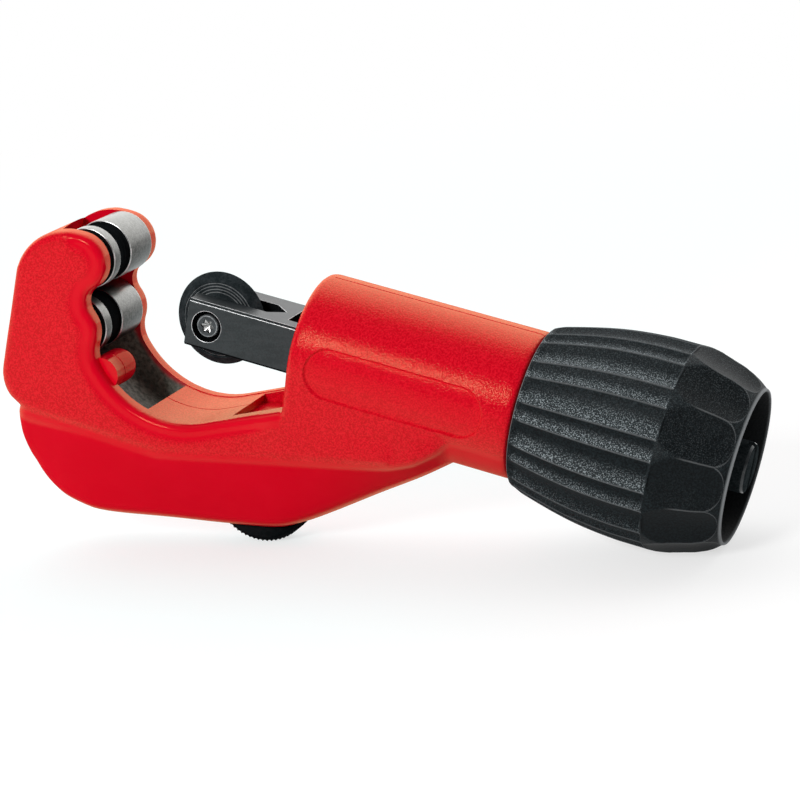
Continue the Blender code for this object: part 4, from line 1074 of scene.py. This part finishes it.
def red_coat(name, depth=1.0):
    """Fine-grained satin powder coat; depth below 1 darkens it as painted shade."""
    def build(start, place):
        grainy = marked(start, "grain")
        grain = noise(start, place, 2700, 1.5)
        fine = noise(start, place, 5600, 1.0)
        drift = noise(start, place, 70, 3.0)
        speck = between(0.7 * grain + 0.3 * fine, 0.4, 0.61)
        smooth = blend(start, between(drift, 0.3, 0.7), *COAT_SMOOTH)
        pebbled = blend(start, speck, *COAT_PEBBLED)
        colour = blend(start, depth, NO_LIGHT, blend(start, grainy, smooth, pebbled))
        height = (grain + 0.3 * fine) * (0.12 + 0.88 * grainy)
        return {
            "Base_Color": colour, "Roughness": 0.42 + 0.1 * grain,
            "Normal": relief(start, height, 0.00006), "Shine": marked(start, "shine"),
        }

    return finish_of(name, build, COAT_GLOSS, Specular_IOR_Level=0.0)


CAST_GRIT = ((0.07, 0.07, 0.057, 1), (0.27, 0.265, 0.22, 1))
CAST_STAIN = (0.05, 0.048, 0.04, 1)
CAST_RIM = (0.5, 0.003, 0.012, 1)


def bare_cast():
    """Unpainted cast metal in the pocket, with the coat drawn in along the throat's edge."""
    def build(start, place):
        grit = noise(start, place, 1100, 4.0, 0.6)
        stain = noise(start, place, 160, 2.0)
        colour = blend(start, between(grit, 0.3, 0.7), *CAST_GRIT)
        colour = blend(start, 0.5 * between(stain, 0.5, 0.75), colour, CAST_STAIN)
        centre = tuple(TOOL @ Vector((THROAT_X, 0, 0)))
        aside = vector(start, "SUBTRACT", i0=place, i1=centre)
        aside = vector(start, "MULTIPLY", i0=aside, i1=(1, 0, 1))
        out = vector(start, "LENGTH", "Value", i0=aside) + 0.0012 * stain
        rim = between(out, 0.0223, 0.021) * between(out, 0.012, 0.0195)
        return {
            "Base_Color": blend(start, rim, colour, CAST_RIM), "Roughness": 0.5 + 0.25 * grit,
            "Normal": relief(start, grit, 0.00012),
        }

    return finish_of("bare_cast_metal", build)


def steel(name, dark, light, roughness, metallic, stretch=(1, 1, 1), scale=500, bump=0.1, shine=0.5,
          top=0.0):
    """Worked steel with fine tool marks; top is how much of its lightness is painted light that
    grows as a face looks up.
    """
    def build(start, place):
        drawn = vector(start, "MULTIPLY", i0=place, i1=stretch)
        marks = noise(start, drawn, scale, 3.0, 0.55)
        fleck = noise(start, place, 3200, 1.0)
        level = between(0.6 * marks + 0.4 * fleck, 0.36, 0.64)
        # painted light: a share top of the lightness grows as the face looks up
        if top:
            level = (1 - top) * level + top * between(facing_up(start), -0.3, 1.0)
        return {
            "Base_Color": blend(start, level, (*dark, 1), (*light, 1)),
            "Roughness": roughness - 0.06 + 0.12 * marks,
            "Normal": relief(start, marks, 0.0002, bump),
        }

    return finish_of(name, build, Metallic=metallic, Specular_IOR_Level=shine)


GRIP_GRAIN = ((0.0012, 0.0026, 0.0034, 1), (0.0095, 0.0145, 0.0168, 1))
# grey of the painted top sheen on the grip
GRIP_TOP_SHEEN = (0.22, 0.26, 0.275, 1)
GRIP_GLINT = (0.36, 0.41, 0.43, 1)
GRIP_PETAL = (0.0012, 0.0022, 0.0028, 1)
GRIP_EDGE_HIGHLIGHT = (0.31, 0.325, 0.335, 1)
GRIP_HOLLOW_SHADE = (0.003, 0.0038, 0.0045, 1)


def grip_plastic():
    """Spark-textured black plastic, smoother on the petals, with painted highlights on its edges
    and ridges, painted glints and light on the flutes and tops, and painted shade in the hollow.
    """
    def build(start, place):
        petal, edge, worn, hollow = (
            marked(start, name) for name in ("petal", "edge", "worn", "hollow"))
        coarse = 1 - 0.45 * petal
        # painted light: faces that look up are made paler and greyer as if lit from above, more on
        # the painted lit side of each flute
        painted_top_light = between(facing_up(start), -0.3, 0.7)
        grain = noise(start, place, 2600, 1.0)
        spark = between(noise(start, place, 4700, 0.0), 0.54, 0.68) * coarse
        top_sheen = 0.075 * painted_top_light * (1 - 0.85 * petal) * (0.4 + worn)
        # painted glints: the spark texture turns pale mainly on the painted lit sides and on faces
        # that look up
        painted_glint = spark * (0.08 + 0.78 * worn + 0.16 * petal) * (0.08 + 0.92 * painted_top_light)
        colour = blend(start, between(grain, 0.35, 0.68), *GRIP_GRAIN)
        for share, tone in ((top_sheen, GRIP_TOP_SHEEN), (painted_glint, GRIP_GLINT), (0.4 * petal, GRIP_PETAL),
                            (0.72 * edge, GRIP_EDGE_HIGHLIGHT), (hollow, GRIP_HOLLOW_SHADE)):
            colour = blend(start, share, colour, tone)
        return {
            "Base_Color": colour, "Roughness": 0.5 + 0.2 * grain,
            "Normal": relief(start, grain * coarse, 0.00009),
        }

    return finish_of("grip_plastic", build, Specular_IOR_Level=0.11)


# ---- assembly

RED = red_coat("red_coat_grained")
# darker copy of the red coat, painted shade for the boss
SHADED_RED = red_coat("red_coat_shaded", 0.8)
CAST = bare_cast()
# most of the rollers' lightness is painted light from above (top=0.72)
GROUND = steel("ground_roller", (0.035, 0.035, 0.033), (0.31, 0.31, 0.295), roughness=0.34,
               metallic=1.0, stretch=(0.6, 1, 0.6), scale=2600, bump=0.05, top=0.72)
BLACK = steel("black_satin", (0.0095, 0.0132, 0.0145), (0.021, 0.0265, 0.0285), roughness=0.36,
              metallic=0.0, stretch=(0.25, 1, 1), scale=900, bump=0.1, shine=0.4)
# black oxide on the roller grooves and the thumb wheel; also painted shade in the slide's recesses
# and underside and the screw's socket
OXIDE_AND_SHADE = steel("black_oxide_and_shade", (0.003, 0.004, 0.0045), (0.009, 0.0105, 0.0115), roughness=0.42,
             metallic=0.0, stretch=(0.04, 1, 0.04), scale=2600, bump=0.05, shine=0.0)
# the wheel's base leans cool to cancel the red light bounced onto it from the throat, a painted
# counter-reflection
WHEEL = steel("wheel_black", (0.0125, 0.0172, 0.0188), (0.034, 0.041, 0.044), roughness=0.36,
              metallic=0.0, shine=0.0)
SCREW = steel("screw_black", (0.02, 0.0235, 0.025), (0.05, 0.056, 0.06), roughness=0.3,
              metallic=0.3)
# paler finish painted as highlights on the wheel's ring grooves and the screw's rim
RING_HIGHLIGHT = steel("ring_highlight_paint", (0.12, 0.13, 0.135), (0.27, 0.285, 0.29), roughness=0.34, metallic=0.3)
# pale finish painted as a highlight on the slide's edge facets
EDGE_HIGHLIGHT = steel("worn_edges", (0.33, 0.345, 0.35), (0.68, 0.69, 0.695), roughness=0.4, metallic=0.2)
# bright turned steel for pins and axles, also painted highlight on the rollers' rounded edges
BRIGHT_AND_HIGHLIGHT = steel("bright_turned_and_highlight", (0.35, 0.35, 0.34), (0.6, 0.6, 0.59), roughness=0.3, metallic=1.0)
BRONZE = steel("bronze_sintered", (0.3, 0.17, 0.06), (0.5, 0.3, 0.13), roughness=0.42, metallic=1.0)
GRIP = grip_plastic()

casting([RED, CAST, SHADED_RED])
roller("upper_roller", ROLLER_Z, [GROUND, OXIDE_AND_SHADE, BRIGHT_AND_HIGHLIGHT])
roller("lower_roller", -ROLLER_Z, [GROUND, OXIDE_AND_SHADE, BRIGHT_AND_HIGHLIGHT])
cutting_wheel([WHEEL, RING_HIGHLIGHT])
wheel_screw([SCREW, RING_HIGHLIGHT, OXIDE_AND_SHADE, BRIGHT_AND_HIGHLIGHT])
slide([BLACK, EDGE_HIGHLIGHT, OXIDE_AND_SHADE])
grip([GRIP])
grip_screw([WHEEL, SCREW])
thumb_wheel([OXIDE_AND_SHADE])

for finish, nodes in (
    (BRIGHT_AND_HIGHLIGHT, ("upper_roller_axle", "lower_roller_axle", "spindle_retainer", "spindle",
              "deburrer_pin", "deburrer_spring_washer", "deburrer_plain_washer", "deburrer_blade")),
    (BLACK, ("slide_stop_screw", "handle_washer")),
    (BRONZE, ("front_thrust_washer", "rear_thrust_washer", "wheel_bush")),
):
    for node in nodes:
        frame["nodes"][node].data.materials.clear()
        frame["nodes"][node].data.materials.append(finish)

# ---- stage, light and camera

WHITE = (1, 1, 1, 1)
FLOOR_PLAIN = (0.68, 0.68, 0.68, 1)
FLOOR_TINTS = ((0.345, 0.41, 0.41, 1), (0.375, 0.375, 0.375, 1))


def floor():
    """Plain pale floor that keeps the tool's shadow, pure white further out."""
    size = 6.0
    points = [(-size, -size, 0), (size, -size, 0), (size, size, 0), (-size, size, 0)]
    sheet = mesh_object("floor", points, [(0, 1, 2, 3)])
    material = bpy.data.materials.new("floor_white")
    material.use_nodes = True
    tree = material.node_tree
    tree.nodes.clear()
    start = Wire(tree)
    camera, mirror, glass = (start.add("LightPath", None, f"Is {kind} Ray")
                             for kind in ("Camera", "Glossy", "Transmission"))
    place = start.add("TexCoord", None, "Object")
    away = between(vector(start, "LENGTH", "Value", i0=place), 0.14, 0.6)
    plain = start.add("BsdfDiffuse", Color=FLOOR_PLAIN)
    # painted counter-reflection: the floor on the jaw side is tinted cool to cancel the red light
    # the casting bounces onto it
    grip_side = between(start.add("SeparateXYZ", None, 0, Vector=place), -0.01, 0.06)
    matte = start.add("BsdfDiffuse", Color=blend(start, grip_side, *FLOOR_TINTS))
    glow = start.add("Emission", Color=WHITE, Strength=0.64)
    white = start.add("Emission", Color=WHITE, Strength=1.0)
    near = start.add("AddShader", i0=matte, i1=glow)
    shown = start.add("MixShader", i0=away, i1=near, i2=white)
    seen = start.sum("MAXIMUM", start.sum("MAXIMUM", camera, mirror), glass)
    mixed = start.add("MixShader", i0=seen, i1=plain, i2=shown)
    end = tree.nodes.new("ShaderNodeOutputMaterial")
    tree.links.new(mixed.socket, end.inputs[0])
    sheet.data.materials.append(material)


def surroundings():
    """A studio that is white behind the tool and dim on the near side."""
    world = bpy.data.worlds.new("studio")
    SCENE.world = world
    world.use_nodes = True
    tree = world.node_tree
    tree.nodes.clear()
    start = Wire(tree)
    way = start.add("TexCoord", None, "Generated")
    behind = vector(start, "DOT_PRODUCT", "Value", i0=way, i1=(-0.34, 0.94, 0.0))
    level = 0.2 + 1.75 * between(behind, -0.12, 0.55)
    camera = start.add("LightPath", None, "Is Camera Ray")
    light = start.add("Background", Color=WHITE, Strength=level + camera * (1 - level))
    end = tree.nodes.new("ShaderNodeOutputWorld")
    tree.links.new(light.socket, end.inputs[0])


def lamp(name, place, target, size, power):
    """A soft square light."""
    light = bpy.data.lights.new(name, "AREA")
    light.shape, light.size, light.energy = "SQUARE", size, power
    shape = bpy.data.objects.new(name, light)
    shape.location = place
    way = Vector(target) - Vector(place)
    shape.rotation_euler = way.to_track_quat("-Z", "Y").to_euler()
    SCENE.collection.objects.link(shape)


def camera():
    """The photograph's viewpoint."""
    data = bpy.data.cameras.new("camera")
    data.lens, data.sensor_width = 117, 36
    data.clip_start, data.clip_end = 0.01, 50
    shape = bpy.data.objects.new("camera", data)
    shape.matrix_world = Matrix((
        (0.92706081, 0.00319521, 0.37489744, 0.19558428),
        (0.35981631, 0.27330431, -0.89209694, -0.45513004),
        (-0.10531154, 0.96192229, 0.25221999, 0.15763615),
        (0, 0, 0, 1),
    ))
    SCENE.collection.objects.link(shape)
    SCENE.camera = shape


floor()
surroundings()
lamp("near_light", place=(-0.184, -0.864, 0.5), target=(0, 0, 0.03), size=0.26, power=6.2)
camera()
SCENE.view_settings.view_transform = "Standard"
